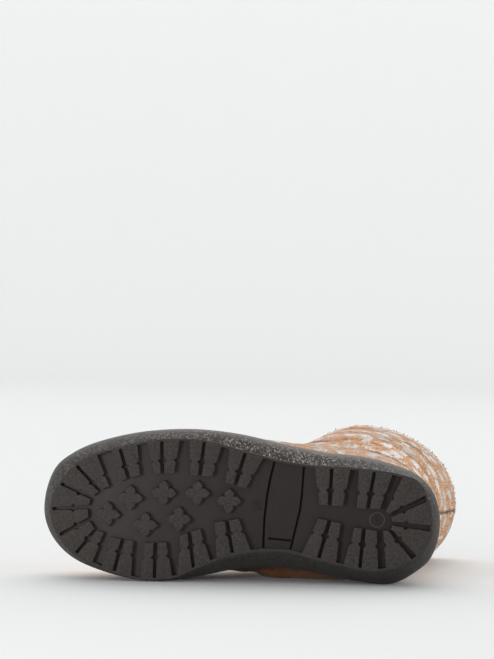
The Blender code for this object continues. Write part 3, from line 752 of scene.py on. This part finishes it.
def buildSole():
    # painted shade: the bottom of the cut grooves is painted nearly black for the shade in them
    grooveShade = plainRubber("groove_shade_rubber", "#0D0B0B", 0.7, 0.1)  # the bottom of the cut grooves
    # painted highlight: the raised numbers and ring are painted paler, for the light their edges catch
    numberHighlight = plainRubber("number_highlight_rubber", "#4B4643", 0.6, 0.3)  # the raised numbers and ring
    handOver(soleTread([smoothSoleRubber(), texturedSoleRubber(), grooveShade, numberHighlight]), "outsole")
    handOver(soleSide(pebbledSoleRubber()), "outsole")
    print("sole built")


# The upper

upper = {
    "wall": 0.0030,
    "gap": 0.0003,
    "instepHeight": 0.108,
    "bootHeight": 0.245,
    "shaftDepth": 0.128,
    "shaftWidth": 0.101,
    "seamWidth": 0.0042,
    "seamDepth": 0.0010,
    "seamRidge": (0.7, 0.55, 0.35),  # height in seam depths, place and reach in seam widths
    "seamGroove": (0.9, 0.22),
    "halfCount": 172,
    "columnStep": 0.0011,  # from one point of a row to the next, near enough
    "rowsBetween": (8, 8, 16, 20, 20, 24, 22, 22, 22),
    "innerEvery": 3,  # one row of the lining for this many of the outside
    "rimRows": 5,
    "combTurn": (3.2, 5.4),  # key rings over which the hair turns from down the shaft to along the foot
    "footRing": 4.4,  # the foot's hair and the shaft's meet at this key ring
    "spotSpacing": (0.0116, 0.0112),  # along and across the hair
    "spotHalf": (0.0050, 0.0048),
    "spotSizes": (0.45, 1.4),
    "spotWaves": (0.004, 0.0016),  # lengths of the waves in a spot's edge
    "spotWaviness": 0.6,
    "spotEdge": (0.70, 1.2),
    "spotReach": 0.03,  # further than any spot goes
    "spotTries": 14000,
    "spotSeed": 11,
}
ringShares = (0.12, 0.40, 0.68, 0.92)
# Shaft share, back, aside, span, back level, front level, outer half widths, inner half widths
keyRings = (
    (0.0, 0.015, 0.0, 0.956, 0.40, 0.37, (0.550, 0.462, 0.560, 0.670), (0.550, 0.350, 0.450, 0.580)),
    (0.0, 0.008, 0.0, 0.940, 0.50, 0.53, (0.540, 0.452, 0.535, 0.640), (0.530, 0.385, 0.440, 0.555)),
    (0.0, 0.007, 0.0, 0.868, 0.61, 0.67, (0.520, 0.455, 0.485, 0.540), (0.505, 0.400, 0.420, 0.470)),
    (0.0, 0.010, 0.0, 0.745, 0.74, 0.82, (0.500, 0.446, 0.435, 0.425), (0.480, 0.410, 0.395, 0.390)),
    (0.0, 0.007, 0.0, 0.612, 0.90, 1.00, (0.482, 0.427, 0.415, 0.400), (0.470, 0.430, 0.405, 0.385)),
    (0.5, -0.012, -0.032, 0.692, 1.10, 1.18, (0.524, 0.518, 0.480, 0.460), (0.460, 0.438, 0.408, 0.388)),
    (1.0, -0.046, -0.074, 0.985, 1.38, 1.44, (0.590, 0.552, 0.560, 0.542), (0.440, 0.423, 0.406, 0.396)),
    (1.0, -0.088, -0.092, 1.005, 1.68, 1.72, (0.555, 0.568, 0.610, 0.582), (0.515, 0.415, 0.403, 0.398)),
    (1.0, -0.101, -0.092, 1.020, 2.00, 2.00, (0.538, 0.555, 0.586, 0.590), (0.420, 0.416, 0.413, 0.408)),
)
# Side, key ring, share along, reach over rings, reach along, lean, height: the part's folds first, the two
# under the arch a little fuller
folds = (
    (-1, 1.3, 0.30, 0.75, 0.070, 0.02, 0.0072),
    (-1, 1.5, 0.43, 0.70, 0.078, 0.03, 0.0070),
    (-1, 3.4, 0.52, 0.55, 0.160, -0.03, -0.0034),
    (1, 1.7, 0.42, 0.80, 0.110, 0.02, 0.0030),
    (1, 3.5, 0.50, 0.50, 0.180, -0.04, -0.0036),
    (1, 4.6, 0.72, 0.45, 0.200, 0.00, 0.0028),
    (-1, 4.7, 0.74, 0.45, 0.200, 0.00, 0.0026),
    (1, 5.6, 0.30, 0.40, 0.240, 0.05, -0.0030),
    (-1, 5.8, 0.40, 0.40, 0.240, -0.05, -0.0028),
    (1, 6.8, 0.62, 0.50, 0.220, 0.08, 0.0024),
    # and finer ones: a tuck under the arch, then the ankle, the vamp and the slack shaft
    (-1, 1.35, 0.400, 0.60, 0.030, 0.03, 0.0046),
    (-1, 1.35, 0.465, 0.60, 0.022, 0.03, -0.0022),
    (1, 4.1, 0.66, 0.16, 0.130, 0.10, -0.0016),
    (-1, 4.2, 0.66, 0.16, 0.130, 0.10, -0.0016),
    (1, 5.2, 0.70, 0.15, 0.140, 0.06, -0.0014),
    (-1, 5.2, 0.68, 0.15, 0.150, -0.06, -0.0014),
    (1, 6.2, 0.25, 0.20, 0.160, 0.12, -0.0013),
    (-1, 6.4, 0.30, 0.20, 0.160, -0.12, -0.0013),
    (1, 2.6, 0.62, 0.20, 0.070, 0.08, -0.0010),
    (-1, 2.7, 0.62, 0.20, 0.070, 0.08, -0.0010),
    # creases round the slack shaft
    (1, 5.45, 0.22, 0.09, 0.200, 0.60, -0.0011),
    (1, 5.95, 0.50, 0.10, 0.260, 0.40, -0.0012),
    (1, 6.55, 0.12, 0.09, 0.180, 0.50, -0.0012),
    (1, 6.95, 0.42, 0.10, 0.240, -0.60, -0.0010),
    (1, 7.45, 0.20, 0.09, 0.220, 0.50, -0.0012),
    (1, 7.90, 0.55, 0.10, 0.240, -0.40, -0.0010),
    (1, 8.30, 0.30, 0.10, 0.260, 0.50, -0.0009),
    (-1, 5.50, 0.20, 0.09, 0.200, -0.60, -0.0011),
    (-1, 6.10, 0.45, 0.10, 0.260, -0.40, -0.0012),
    (-1, 6.80, 0.15, 0.09, 0.200, -0.50, -0.0011),
    (-1, 7.50, 0.40, 0.10, 0.260, 0.50, -0.0010),
    (-1, 8.20, 0.22, 0.10, 0.240, -0.40, -0.0010),
)
# Painted shade: the hide and its hair are painted darker where the hide is gathered under the arch, in shade:
# share of the length, key ring, reach of each
archShade = {"place": (0.40, 1.1), "reach": (0.25, 1.7), "strength": 1.7}


def level(share):
    if share <= 1.0:
        return share * upper["instepHeight"]
    return upper["instepHeight"] + (share - 1.0) * (upper["bootHeight"] - upper["instepHeight"])


def keyRing(row):
    shaft, back, aside, span, backLevel, frontLevel, lateral, medial = row
    length = boot["length"] + (upper["shaftDepth"] - boot["length"]) * shaft
    width = boot["ballWidth"] + (upper["shaftWidth"] - boot["ballWidth"]) * shaft
    start = back * boot["length"]
    rows = []
    for share, left, right in zip(ringShares, lateral, medial):
        sine = 2.0 * math.sqrt(share * (1.0 - share))
        rows.append((share, left * sine * width, right * sine * width))
    plan = planRing(start, start + span * length, rows)
    plan[:, 1] += aside * width
    share = (plan[:, 0] - start) / (span * length)
    return raised(plan, level(backLevel) + (level(frontLevel) - level(backLevel)) * share)


def featherOutline():
    return inset(soleOutline(), sole["lipInset"] + sole["lipWidth"] + upper["gap"])


def folded(ring, place):
    plan = ring[:, :2]
    share = (plan[:, 0] - plan[:, 0].min()) / np.ptp(plan[:, 0])
    side = np.where(np.arange(len(ring)) <= upper["halfCount"], 1, -1)
    move = np.zeros(len(ring))
    for foldSide, at, along, over, reach, lean, height in folds:
        centre = along + lean * (place - at)
        bump = np.exp(-(((share - centre) / reach) ** 2) - ((place - at) / over) ** 2)
        move += np.where(side == foldSide, height * bump, 0.0)
    fromSeam = np.linalg.norm(plan - plan[0], axis=1) / upper["seamWidth"]
    (ridge, ridgeAt, ridgeReach), (groove, grooveReach) = upper["seamRidge"], upper["seamGroove"]
    seam = ridge * np.exp(-((fromSeam - ridgeAt) / ridgeReach) ** 2)
    seam -= groove * np.exp(-((fromSeam / grooveReach) ** 2))
    move += upper["seamDepth"] * seam
    ring = ring.copy()
    ring[:, :2] += outwards(plan) * move[:, None]
    return ring


def upperRows():
    feather = featherOutline()
    top = soleThickness(feather[:, 0])
    edge = raised(feather, top + upper["gap"])
    keys = [edge] + [keyRing(row) for row in keyRings]
    foot = raised(feather, top - sole["cupDepth"] + upper["gap"])
    places = evenPlaces(feather, upper["halfCount"])
    rows, at = [picked(foot, places), picked(edge, places)], [0.0, 0.0]
    for low, count in enumerate(upper["rowsBetween"]):
        for step in range(1, count + 1):
            place = low + step / count
            ring = curveThrough(keys, place)
            rows.append(folded(picked(ring, evenPlaces(ring[:, :2], upper["halfCount"])), place))
            at.append(place)
    return lifted(np.array(rows)), np.array(at)


def combAlong(rows, at, normals):  # the way the hair lies: down the shaft, forward along the foot
    down = -np.gradient(rows, axis=0)
    down /= np.linalg.norm(down, axis=2, keepdims=True)
    forward = np.broadcast_to(np.array([1.0, 0.0, -0.15]), rows.shape)
    onFoot = (1.0 - smoothStep(*upper["combTurn"], at))[:, None, None]
    comb = down * (1.0 - onFoot) + forward * onFoot
    comb -= normals * (comb * normals).sum(axis=2, keepdims=True)
    return comb / np.maximum(np.linalg.norm(comb, axis=2, keepdims=True), 1e-9)


def withHair(apart, comb):  # how far apart along the hair and across it
    run = (apart * comb).sum(axis=1)
    return run, np.linalg.norm(apart - comb * run[:, None], axis=1)


def spotPattern(points, comb):  # staggered spots, long with the hair: how pale and how grey each point is
    random = np.random.default_rng(upper["spotSeed"])
    along, across = upper["spotSpacing"]
    chosen = []
    for candidate in random.permutation(len(points))[:upper["spotTries"]]:
        run, beside = withHair(points[candidate] - points[chosen], comb[chosen])
        if not ((run / along) ** 2 + (beside / across) ** 2 < 1.0).any():
            chosen.append(candidate)
    scales = random.uniform(*upper["spotSizes"], (len(chosen), 2)) * upper["spotHalf"]
    greys = random.uniform(0.0, 1.0, len(chosen))
    best = np.full(len(points), 9.0)
    grey = np.zeros(len(points))
    for index, (halfLength, halfWidth), tone in zip(chosen, scales, greys):
        near = np.flatnonzero((np.abs(points - points[index]) < upper["spotReach"]).all(axis=1))
        run, beside = withHair(points[near] - points[index], comb[index])
        reach = np.hypot(run / halfLength, beside / halfWidth)
        closer = reach < best[near]
        best[near[closer]] = reach[closer]
        grey[near[closer]] = tone
    long, short = upper["spotWaves"]
    waves = [noise.noise(Vector(point) / long) + noise.noise(Vector(point) / short) * 0.6 for point in points]
    return 1.0 - smoothStep(*upper["spotEdge"], best + np.array(waves) * upper["spotWaviness"]), grey


def rimAndLining(rows, normals):
    inner = (rows - normals * upper["wall"])[::-1][::upper["innerEvery"]]
    if (len(rows) - 1) % upper["innerEvery"]:
        inner = np.concatenate([inner, rows[:1] - normals[:1] * upper["wall"]])
    middle, half = (rows[-1] + inner[0]) / 2.0, (rows[-1] - inner[0]) / 2.0
    rim = []
    for step in range(1, upper["rimRows"] + 1):
        angle = math.pi * step / (upper["rimRows"] + 1)
        rise = np.array([0, 0, 1]) * upper["wall"] / 2.0 * math.sin(angle)
        rim.append(middle + half * math.cos(angle) + rise)
    return rim, inner


def hideValues(rows, at):  # the hair's patches and where the hide is hairy, seamed and painted with the shade under the arch
    column, ring = np.arange(rows.shape[1]), at[:, None]
    isInner = (column > upper["halfCount"]).astype(int)
    patch = np.where(ring < upper["footRing"], isInner, isInner + 2)
    fromSeam = np.minimum(column, len(column) - column) * upper["columnStep"] / upper["seamWidth"]
    hairy = smoothStep(-0.5, 0.6, np.arange(len(rows)) - 1.5)[:, None] * smoothStep(0.35, 0.75, fromSeam)
    seam = np.exp(-(fromSeam / 0.4) ** 2) * (ring > 1.0)
    (share, middle), (reach, over) = archShade["place"], archShade["reach"]
    shade = np.exp(-((rows[..., 0] / boot["length"] - share) / reach) ** 2 - ((ring - middle) / over) ** 2)
    return patch, {"hairy": hairy, "seam": seam, "archShade": np.minimum(shade * archShade["strength"], 1.0) * isInner}


def pressFlat(mesh):  # the floor presses the fullest folds and their hair flat
    for vert in mesh.vertices:
        vert.co.z = max(vert.co.z, fur["pressed"])


def buildUpper():
    rows, at = upperRows()
    normals = gridNormals(rows)
    if ((rows - rows.mean(axis=1, keepdims=True)) * normals).sum() < 0:
        normals = -normals
    rim, inner = rimAndLining(rows, normals)
    whole = np.concatenate([rows, rim, inner])
    faces = gridFaces(len(whole), rows.shape[1], closed=True)
    isLining = (faces[:, 0] // rows.shape[1]) >= len(rows) + upper["rimRows"] // 2
    comb = combAlong(rows, at, normals).reshape(-1, 3)
    spot, grey = spotPattern(rows.reshape(-1, 3), comb)
    item = meshFrom("upper_hide", whole.reshape(-1, 3), faces, [hideSkin(), fleeceLining()], isLining)
    pressFlat(item.data)
    patch, values = hideValues(rows, at)
    for name, kept in {"spot": spot, "grey": grey, **values}.items():
        storeValues(item.data, name, "FLOAT", kept.reshape(-1))
    storeValues(item.data, "comb", "FLOAT_VECTOR", comb @ np.array(toRow)[:3, :3].T)
    storeValues(item.data, "patch", "INT", patch.reshape(-1), -1)
    handOver(item, "upper")
    print("upper built:", len(item.data.polygons), "faces")
    return item


def hideSkin():  # short haired hide under its hair: tan with pale spots, dull as suede
    material, tree, shader = newMaterial("short_haired_hide", Roughness=0.92, IOR=1.5)
    place = addNode(tree, "ShaderNodeTexCoord").outputs["Object"]
    cloudy = addNode(tree, "ShaderNodeTexNoise", {"Vector": place, "Scale": perMetre(5), "Detail": 3.0})
    colour, share = toLinear("#B87C4A"), cloudy
    # painted shade: the arch shade value mixes the hide to dark brown under the arch
    for over, name in (("#DDA676", "spot"), ("#EFECE8", "archShade"), ("#3E2412", "seam"), ("#7A5335", None)):
        colours = {"Factor": share, 6: colour, 7: toLinear(over)}
        colour = addNode(tree, "ShaderNodeMix", colours, data_type="RGBA").outputs[2]
        if name:
            share = addNode(tree, "ShaderNodeAttribute", attribute_name=name).outputs["Fac"]
    fine = addNode(tree, "ShaderNodeTexNoise", {"Vector": place, "Scale": perMetre(0.8)})
    surfaced(tree, shader, colour, fine, 0.6, 0.0004)
    return material


def fleeceLining():  # cream knitted fleece: curled tufts about 3 mm across, no gloss
    material, tree, shader = newMaterial("fleece_lining", Roughness=0.95, Sheen_Weight=0.3)
    place = addNode(tree, "ShaderNodeTexCoord").outputs["Object"]
    tufts = addNode(tree, "ShaderNodeTexVoronoi", {"Vector": place, "Scale": perMetre(3.2)})
    soft = addNode(tree, "ShaderNodeTexNoise", {"Vector": place, "Scale": perMetre(1.2), "Detail": 4.0})
    height = addNode(tree, "ShaderNodeMath", {0: soft, 1: tufts}, operation="SUBTRACT")
    # painted shade: the fleece is painted darker between the tufts, where its bump is lowest
    colours = {"Factor": tufts, 6: toLinear("#E2D9C8"), 7: toLinear("#A99C88")}
    colour = addNode(tree, "ShaderNodeMix", colours, data_type="RGBA").outputs[2]
    surfaced(tree, shader, colour, height, 0.9, 0.0012)
    return material


# The hair on the hide

fur = {
    "hairsPerPatch": 46000,
    "length": 0.0044,
    "width": 0.00055,
    "lift": 0.025,  # radians off the skin
    "sway": 0.15,
    "bow": 0.20,
    "weld": 0.00002,
    "seed": 3,
    "pressed": 0.0003,
    "patches": ("fur_foot_outer", "fur_foot_inner", "fur_shaft_outer", "fur_shaft_inner"),
    # plain hair colours: four tans, grey and white for the spots, and browns for the painted shade under the arch
    "tans": ("#DD9A64", "#EEB785", "#C2824F", "#F6D1A8"),
    "pales": ("#DDD8D4", "#FCFBF9"),
    "browns": ("#4C2C17", "#6E4524"),
}


def hairMaterials():  # dyed goat hair: a dry fibre with a faint gleam along it
    materials = []
    for kind in ("tan", "pale", "brown"):
        for place, colour in enumerate(fur[f"{kind}s"]):
            look = {"Base_Color": toLinear(colour), "Roughness": 0.62, "IOR": 1.5, "Sheen_Weight": 0.12}
            materials.append(newMaterial(f"{kind}_hair_{place}", **look)[0])
    return materials


def bladeOfHair(tree, length, width):  # one quad and one triangle, bowed a little, root at the origin
    sizes = {"Size X": width, "Size Y": length, "Vertices X": 2, "Vertices Y": 3}
    blade = addNode(tree, "GeometryNodeMeshGrid", sizes)
    half = addNode(tree, "ShaderNodeMath", {0: length, 1: 0.5}, operation="MULTIPLY")
    toRoot = addNode(tree, "ShaderNodeCombineXYZ", {"Y": half})
    blade = addNode(tree, "GeometryNodeSetPosition", {"Geometry": blade, "Offset": toRoot})
    place = addNode(tree, "ShaderNodeSeparateXYZ", {0: addNode(tree, "GeometryNodeInputPosition")}).outputs
    share = addNode(tree, "ShaderNodeMath", {0: place["Y"], 1: length}, operation="DIVIDE")
    taper = addNode(tree, "ShaderNodeMapRange", {"Value": share, "From Min": 0.5, "To Min": 1.0, "To Max": 0.0})
    x = addNode(tree, "ShaderNodeMath", {0: place["X"], 1: taper}, operation="MULTIPLY")
    z = addNode(tree, "ShaderNodeMath", {0: 1.0, 1: share}, operation="SUBTRACT")
    for factor in (share, length, fur["bow"]):
        z = addNode(tree, "ShaderNodeMath", {0: z, 1: factor}, operation="MULTIPLY")
    shaped = addNode(tree, "ShaderNodeCombineXYZ", {"X": x, "Y": place["Y"], "Z": z})
    blade = addNode(tree, "GeometryNodeSetPosition", {"Geometry": blade, "Position": shaped})
    return addNode(tree, "GeometryNodeMergeByDistance", {"Geometry": blade, "Distance": fur["weld"]})


def hairShade(tree, kept):  # the number of each hair's material
    tans, spots = len(fur["tans"]), len(fur["tans"]) + len(fur["pales"])
    ranges = {"pale": (0.0, 1.0, 5), "tan": (0.0, tans - 0.001, 6), "white": (0.0, 1.0, 7), "dark": (0.0, 1.0, 12),
              "brown": (float(spots), spots + len(fur["browns"]) - 0.001, 13)}
    drawn = {}
    for name, (low, high, seed) in ranges.items():
        inputs = {2: low, 3: high, "Seed": seed}
        drawn[name] = addNode(tree, "FunctionNodeRandomValue", inputs, data_type="FLOAT").outputs[1]
    tan = addNode(tree, "ShaderNodeMath", {0: drawn["tan"]}, operation="FLOOR")
    brown = addNode(tree, "ShaderNodeMath", {0: drawn["brown"]}, operation="FLOOR")
    greyness = addNode(tree, "ShaderNodeMath", {0: kept["grey"], 1: 0.8}, operation="MULTIPLY")
    isWhite = addNode(tree, "ShaderNodeMath", {0: drawn["white"], 1: greyness}, operation="GREATER_THAN")
    pale = addNode(tree, "ShaderNodeMath", {0: isWhite, 1: float(tans)}, operation="ADD")
    shade = tan
    # painted shade: hairs under the arch are switched to the browns
    for then, draw, limit in ((pale, "pale", "spot"), (brown, "dark", "archShade")):
        chosen = addNode(tree, "ShaderNodeMath", {0: drawn[draw], 1: kept[limit]}, operation="LESS_THAN")
        inputs = {"Switch": chosen, "False": shade, "True": then}
        shade = addNode(tree, "GeometryNodeSwitch", inputs, input_type="FLOAT")
    return shade


def hairTurn(tree, normal, comb, given):  # upright, then laid down with the comb and swayed a little
    inputs = {"Primary Axis": normal, "Secondary Axis": comb}
    stand = addNode(tree, "FunctionNodeAxesToRotation", inputs, primary_axis="Z", secondary_axis="Y")
    turns = {}
    for axis, name, low, high, seed in (("X", "Lift", 0.2, 1.4, 8), ("Z", "Sway", -1.0, 1.0, 9)):
        inputs = {2: low, 3: high, "Seed": seed}
        share = addNode(tree, "FunctionNodeRandomValue", inputs, data_type="FLOAT").outputs[1]
        turns[axis] = addNode(tree, "ShaderNodeMath", {0: given[name], 1: share}, operation="MULTIPLY")
    lean = addNode(tree, "FunctionNodeEulerToRotation", {0: addNode(tree, "ShaderNodeCombineXYZ", turns)})
    inputs = {"Rotation": stand, "Rotate By": lean}
    return addNode(tree, "FunctionNodeRotateRotation", inputs, rotation_space="LOCAL")


def furTree(materials):
    tree = bpy.data.node_groups.new("hair_on_hide", "GeometryNodeTree")
    floats = ("Hairs per Square Metre", "Hair Length", "Hair Width", "Lift", "Sway")
    kinds = {"Geometry": "Geometry", "Patch": "Int", **dict.fromkeys(floats, "Float"), "Seed": "Int"}
    for name, kind in kinds.items():
        tree.interface.new_socket(name=name, in_out="INPUT", socket_type=f"NodeSocket{kind}")
    tree.interface.new_socket(name="Geometry", in_out="OUTPUT", socket_type="NodeSocketGeometry")
    given = addNode(tree, "NodeGroupInput").outputs
    stored = {"comb": "FLOAT_VECTOR", "patch": "INT"}
    kept = {}
    for name in ("hairy", "spot", "grey", "archShade", "comb", "patch", "shade"):
        kind = stored.get(name, "FLOAT")
        kept[name] = addNode(tree, "GeometryNodeInputNamedAttribute", {"Name": name}, data_type=kind)
    ours = addNode(tree, "ShaderNodeMath", {0: kept["patch"], 1: given["Patch"], 2: 0.1}, operation="COMPARE")
    inputs = {0: kept["hairy"], 1: given["Hairs per Square Metre"]}
    density = addNode(tree, "ShaderNodeMath", inputs, operation="MULTIPLY")
    inputs = {"Mesh": given["Geometry"], "Selection": ours, "Density": density, "Seed": given["Seed"]}
    roots = addNode(tree, "GeometryNodeDistributePointsOnFaces", inputs).outputs
    inputs = {"Geometry": roots["Points"], "Name": "shade", "Value": hairShade(tree, kept)}
    shaded = addNode(tree, "GeometryNodeStoreNamedAttribute", inputs, data_type="FLOAT", domain="POINT")
    size = {"Z": 1.0}
    for axis, low, high, seed in (("X", 0.7, 1.3, 10), ("Y", 0.65, 1.25, 11)):
        inputs = {2: low, 3: high, "Seed": seed}
        size[axis] = addNode(tree, "FunctionNodeRandomValue", inputs, data_type="FLOAT").outputs[1]
    hairs = addNode(tree, "GeometryNodeInstanceOnPoints", {
        "Points": shaded, "Instance": bladeOfHair(tree, given["Hair Length"], given["Hair Width"]),
        "Rotation": hairTurn(tree, roots["Normal"], kept["comb"], given),
        "Scale": addNode(tree, "ShaderNodeCombineXYZ", size)})
    real = addNode(tree, "GeometryNodeRealizeInstances", {"Geometry": hairs})
    for place, material in enumerate(materials):
        inputs = {0: kept["shade"], 1: float(place), 2: 0.1}
        chosen = addNode(tree, "ShaderNodeMath", inputs, operation="COMPARE")
        inputs = {"Geometry": real, "Selection": chosen, "Material": material}
        real = addNode(tree, "GeometryNodeSetMaterial", inputs)
    addNode(tree, "NodeGroupOutput", {"Geometry": real})
    return tree


def buildFur(hide):
    tree = furTree(hairMaterials())
    sockets = {item.name: item.identifier for item in tree.interface.items_tree if item.in_out == "INPUT"}
    patches = np.zeros(len(hide.data.vertices), np.int32)
    hide.data.attributes["patch"].data.foreach_get("value", patches)
    areas = np.zeros(len(fur["patches"]))
    for face in hide.data.polygons:
        if patches[face.vertices[0]] >= 0:
            areas[patches[face.vertices[0]]] += face.area
    for patch, name in enumerate(fur["patches"]):
        modifier = hide.modifiers.new("hair", "NODES")
        modifier.node_group = tree
        values = {
            "Patch": patch, "Hairs per Square Metre": fur["hairsPerPatch"] / float(areas[patch]),
            "Hair Length": fur["length"], "Hair Width": fur["width"], "Lift": fur["lift"],
            "Sway": fur["sway"], "Seed": fur["seed"] + patch,
        }
        for label, value in values.items():
            modifier[sockets[label]] = value
        mesh = asMesh(hide)
        hide.modifiers.remove(modifier)
        pressFlat(mesh)
        mesh.shade_smooth()
        handOver(linked(name, mesh))
        print(name, "has", len(mesh.polygons), "faces")


# The insole

insole = {
    "thickness": 0.0040,
    "halfCount": 150,
    "across": 36,
    "cupped": 0.0012,  # how much its rim stands above its middle
    "pile": 0.00035,
    "tuft": 0.0022,
}


def insoleTop(ring, first):  # straight lines across, cupped and tufted; the ends meet in a point each
    half, across = insole["halfCount"], insole["across"]
    points, faces, index = [], [], {}
    for k in range(half + 1):
        left, right = ring[k], ring[-k % len(ring)]
        steps = across if 0 < k < half else 0
        for s in range(steps + 1):
            share = s / max(steps, 1)
            x, y, z = left + (right - left) * share
            if 0 < s < steps:
                z -= insole["cupped"] * 4.0 * share * (1.0 - share)
                z += insole["pile"] * noise.noise(Vector(left + (right - left) * share) / insole["tuft"])
            index[k, s] = first + len(points)
            points.append((x, y, z))
    for k in range(half):
        for s in range(across):
            corners = [(k, s), (k, s + 1), (k + 1, s + 1), (k + 1, s)]
            corners = [(k, 0) if k in (0, half) else (k, s) for k, s in corners]
            faces.append([index[corner] for corner in dict.fromkeys(corners)])
    border = [index[k, 0] for k in range(half + 1)] + [index[k, across] for k in range(half - 1, 0, -1)]
    return points, faces, border


def buildInsole():
    outer = inset(featherOutline(), upper["wall"] + 2.0 * upper["gap"])
    outer = picked(outer, evenPlaces(outer, insole["halfCount"]))
    floor = soleThickness(outer[:, 0]) - sole["cupDepth"] + upper["gap"]
    count, thickness, rounded = len(outer), insole["thickness"], insole["thickness"] / 4.0
    sides = raised(outer, floor).tolist() + raised(outer, floor + thickness - rounded).tolist()
    points, faces, border = insoleTop(raised(inset(outer, rounded), floor + thickness), len(sides))
    faces += gridFaces(2, count).tolist() + ladderFaces(0, count)
    for k in range(count):
        after = (k + 1) % count
        faces.append((count + k, count + after, border[after], border[k]))
    handOver(meshFrom("insole_pile", lifted(sides + points), faces, [fleeceInsole()]), "insole")
    print("insole built")


def fleeceInsole():  # felted wool pile, greyer than the lining
    material, tree, shader = newMaterial("felted_pile", Roughness=0.96, Sheen_Weight=0.3)
    place = addNode(tree, "ShaderNodeTexCoord").outputs["Object"]
    soft = addNode(tree, "ShaderNodeTexNoise", {"Vector": place, "Scale": perMetre(1.6), "Detail": 5.0})
    # partly painted shade: the pile's own mottled tone follows its bump, darker in the hollows and paler on the
    # tops
    colours = {"Factor": soft, 6: toLinear("#9C9182"), 7: toLinear("#D6CDBD")}
    colour = addNode(tree, "ShaderNodeMix", colours, data_type="RGBA").outputs[2]
    surfaced(tree, shader, colour, soft, 0.8, 0.0008)
    return material


# Floor, lights and camera

studio = {
    "paper": "#E3E4E4",
    "glow": (0.285, 0.32, 0.006),  # the paper's own light at 1 m, how it grows with height, and with depth
    "floorRadius": 5.0,
    "sweepRadius": 3.0,
    "sweepSteps": 16,
    "around": 96,
    "world": 0.535,
    "sunFrom": (-0.02, 0.75, 1.0),  # high over the boot, behind it
    "sunStrength": 1.75,
    "sunSpread": 78.0,
    "lampPlace": (-0.98, -1.50, 0.14),  # low beside the camera, to the toe's side
    "lampAim": (0.0, -0.12, 0.06),
    "lampSize": 0.25,
    "lampWatts": 13.0,
}


def addLight(name, kind, energy, place, aim=(0.0, 0.0, 0.0)):
    light = bpy.data.lights.new(name, kind)
    light.energy = energy
    item = linked(name, light)
    item.location = place
    item.rotation_euler = (Vector(aim) - Vector(place)).to_track_quat("-Z", "Y").to_euler()
    return light


def studioPaper():
    white = (1.0, 1.0, 1.0, 1.0)
    look = {"Base_Color": toLinear(studio["paper"]), "Roughness": 0.9, "Emission_Color": white}
    material, tree, shader = newMaterial("pale_studio_paper", **look)
    place = addNode(tree, "ShaderNodeTexCoord").outputs["Object"]
    place = addNode(tree, "ShaderNodeSeparateXYZ", {0: place}).outputs
    strength, growth, backwards = studio["glow"]
    glow = addNode(tree, "ShaderNodeMath", {0: place["Y"], 1: backwards}, operation="MULTIPLY")
    for operation, other in (("MAXIMUM", place["Z"]), ("POWER", growth), ("MULTIPLY", strength)):
        glow = addNode(tree, "ShaderNodeMath", {0: glow, 1: other}, operation=operation)
    tree.links.new(glow.outputs[0], shader.inputs["Emission Strength"])
    return material


def buildStudio():
    flat, radius, around = studio["floorRadius"], studio["sweepRadius"], studio["around"]
    profile = [(flat * share, 0.0) for share in (0.2, 0.6, 1.0)]
    for step in range(1, studio["sweepSteps"] + 1):
        angle = math.pi / 2.0 * step / studio["sweepSteps"]
        profile.append((flat + radius * math.sin(angle), radius * (1.0 - math.cos(angle))))
    points = [(0.0, 0.0, 0.0)]
    for reach, height in profile:
        for turn in np.arange(around) * math.tau / around:
            points.append((reach * math.cos(turn), reach * math.sin(turn), height))
    faces = [(0, 1 + k, 1 + (k + 1) % around) for k in range(around)]
    faces += (gridFaces(len(profile), around)[:, ::-1] + 1).tolist()
    mesh = bpy.data.meshes.new("floor")
    mesh.from_pydata(points, [], faces)
    mesh.shade_smooth()
    mesh.materials.append(studioPaper())
    floor = linked("floor", mesh)
    world = bpy.data.worlds.new("studio")
    world.use_nodes = True
    background = world.node_tree.nodes["Background"].inputs
    background["Color"].default_value = (0.99, 1.0, 0.995, 1.0)
    background["Strength"].default_value = studio["world"]
    bpy.context.scene.world = world
    sun = addLight("overhead", "SUN", studio["sunStrength"], studio["sunFrom"])
    sun.angle = math.radians(studio["sunSpread"])
    lamp = addLight("toe_side", "AREA", studio["lampWatts"], studio["lampPlace"], studio["lampAim"])
    lamp.size = studio["lampSize"]


def buildCamera():
    data = bpy.data.cameras.new("camera")
    data.sensor_width = camera["sensor"]
    data.lens = camera["focalPixels"] * camera["sensor"] / camera["framePixels"]
    data.clip_start = 0.05
    item = linked("camera", data)
    item.location = camera["place"]
    level = Matrix.Rotation(math.pi / 2.0, 4, "X")
    roll = Matrix.Rotation(math.radians(camera["rollDegrees"]), 4, "Z")
    item.rotation_euler = (level @ roll).to_euler()
    bpy.context.scene.camera = item
    bpy.context.scene.view_settings.view_transform = "Standard"


buildCamera()
buildStudio()
buildSole()
hide = buildUpper()
buildInsole()
buildFur(hide)
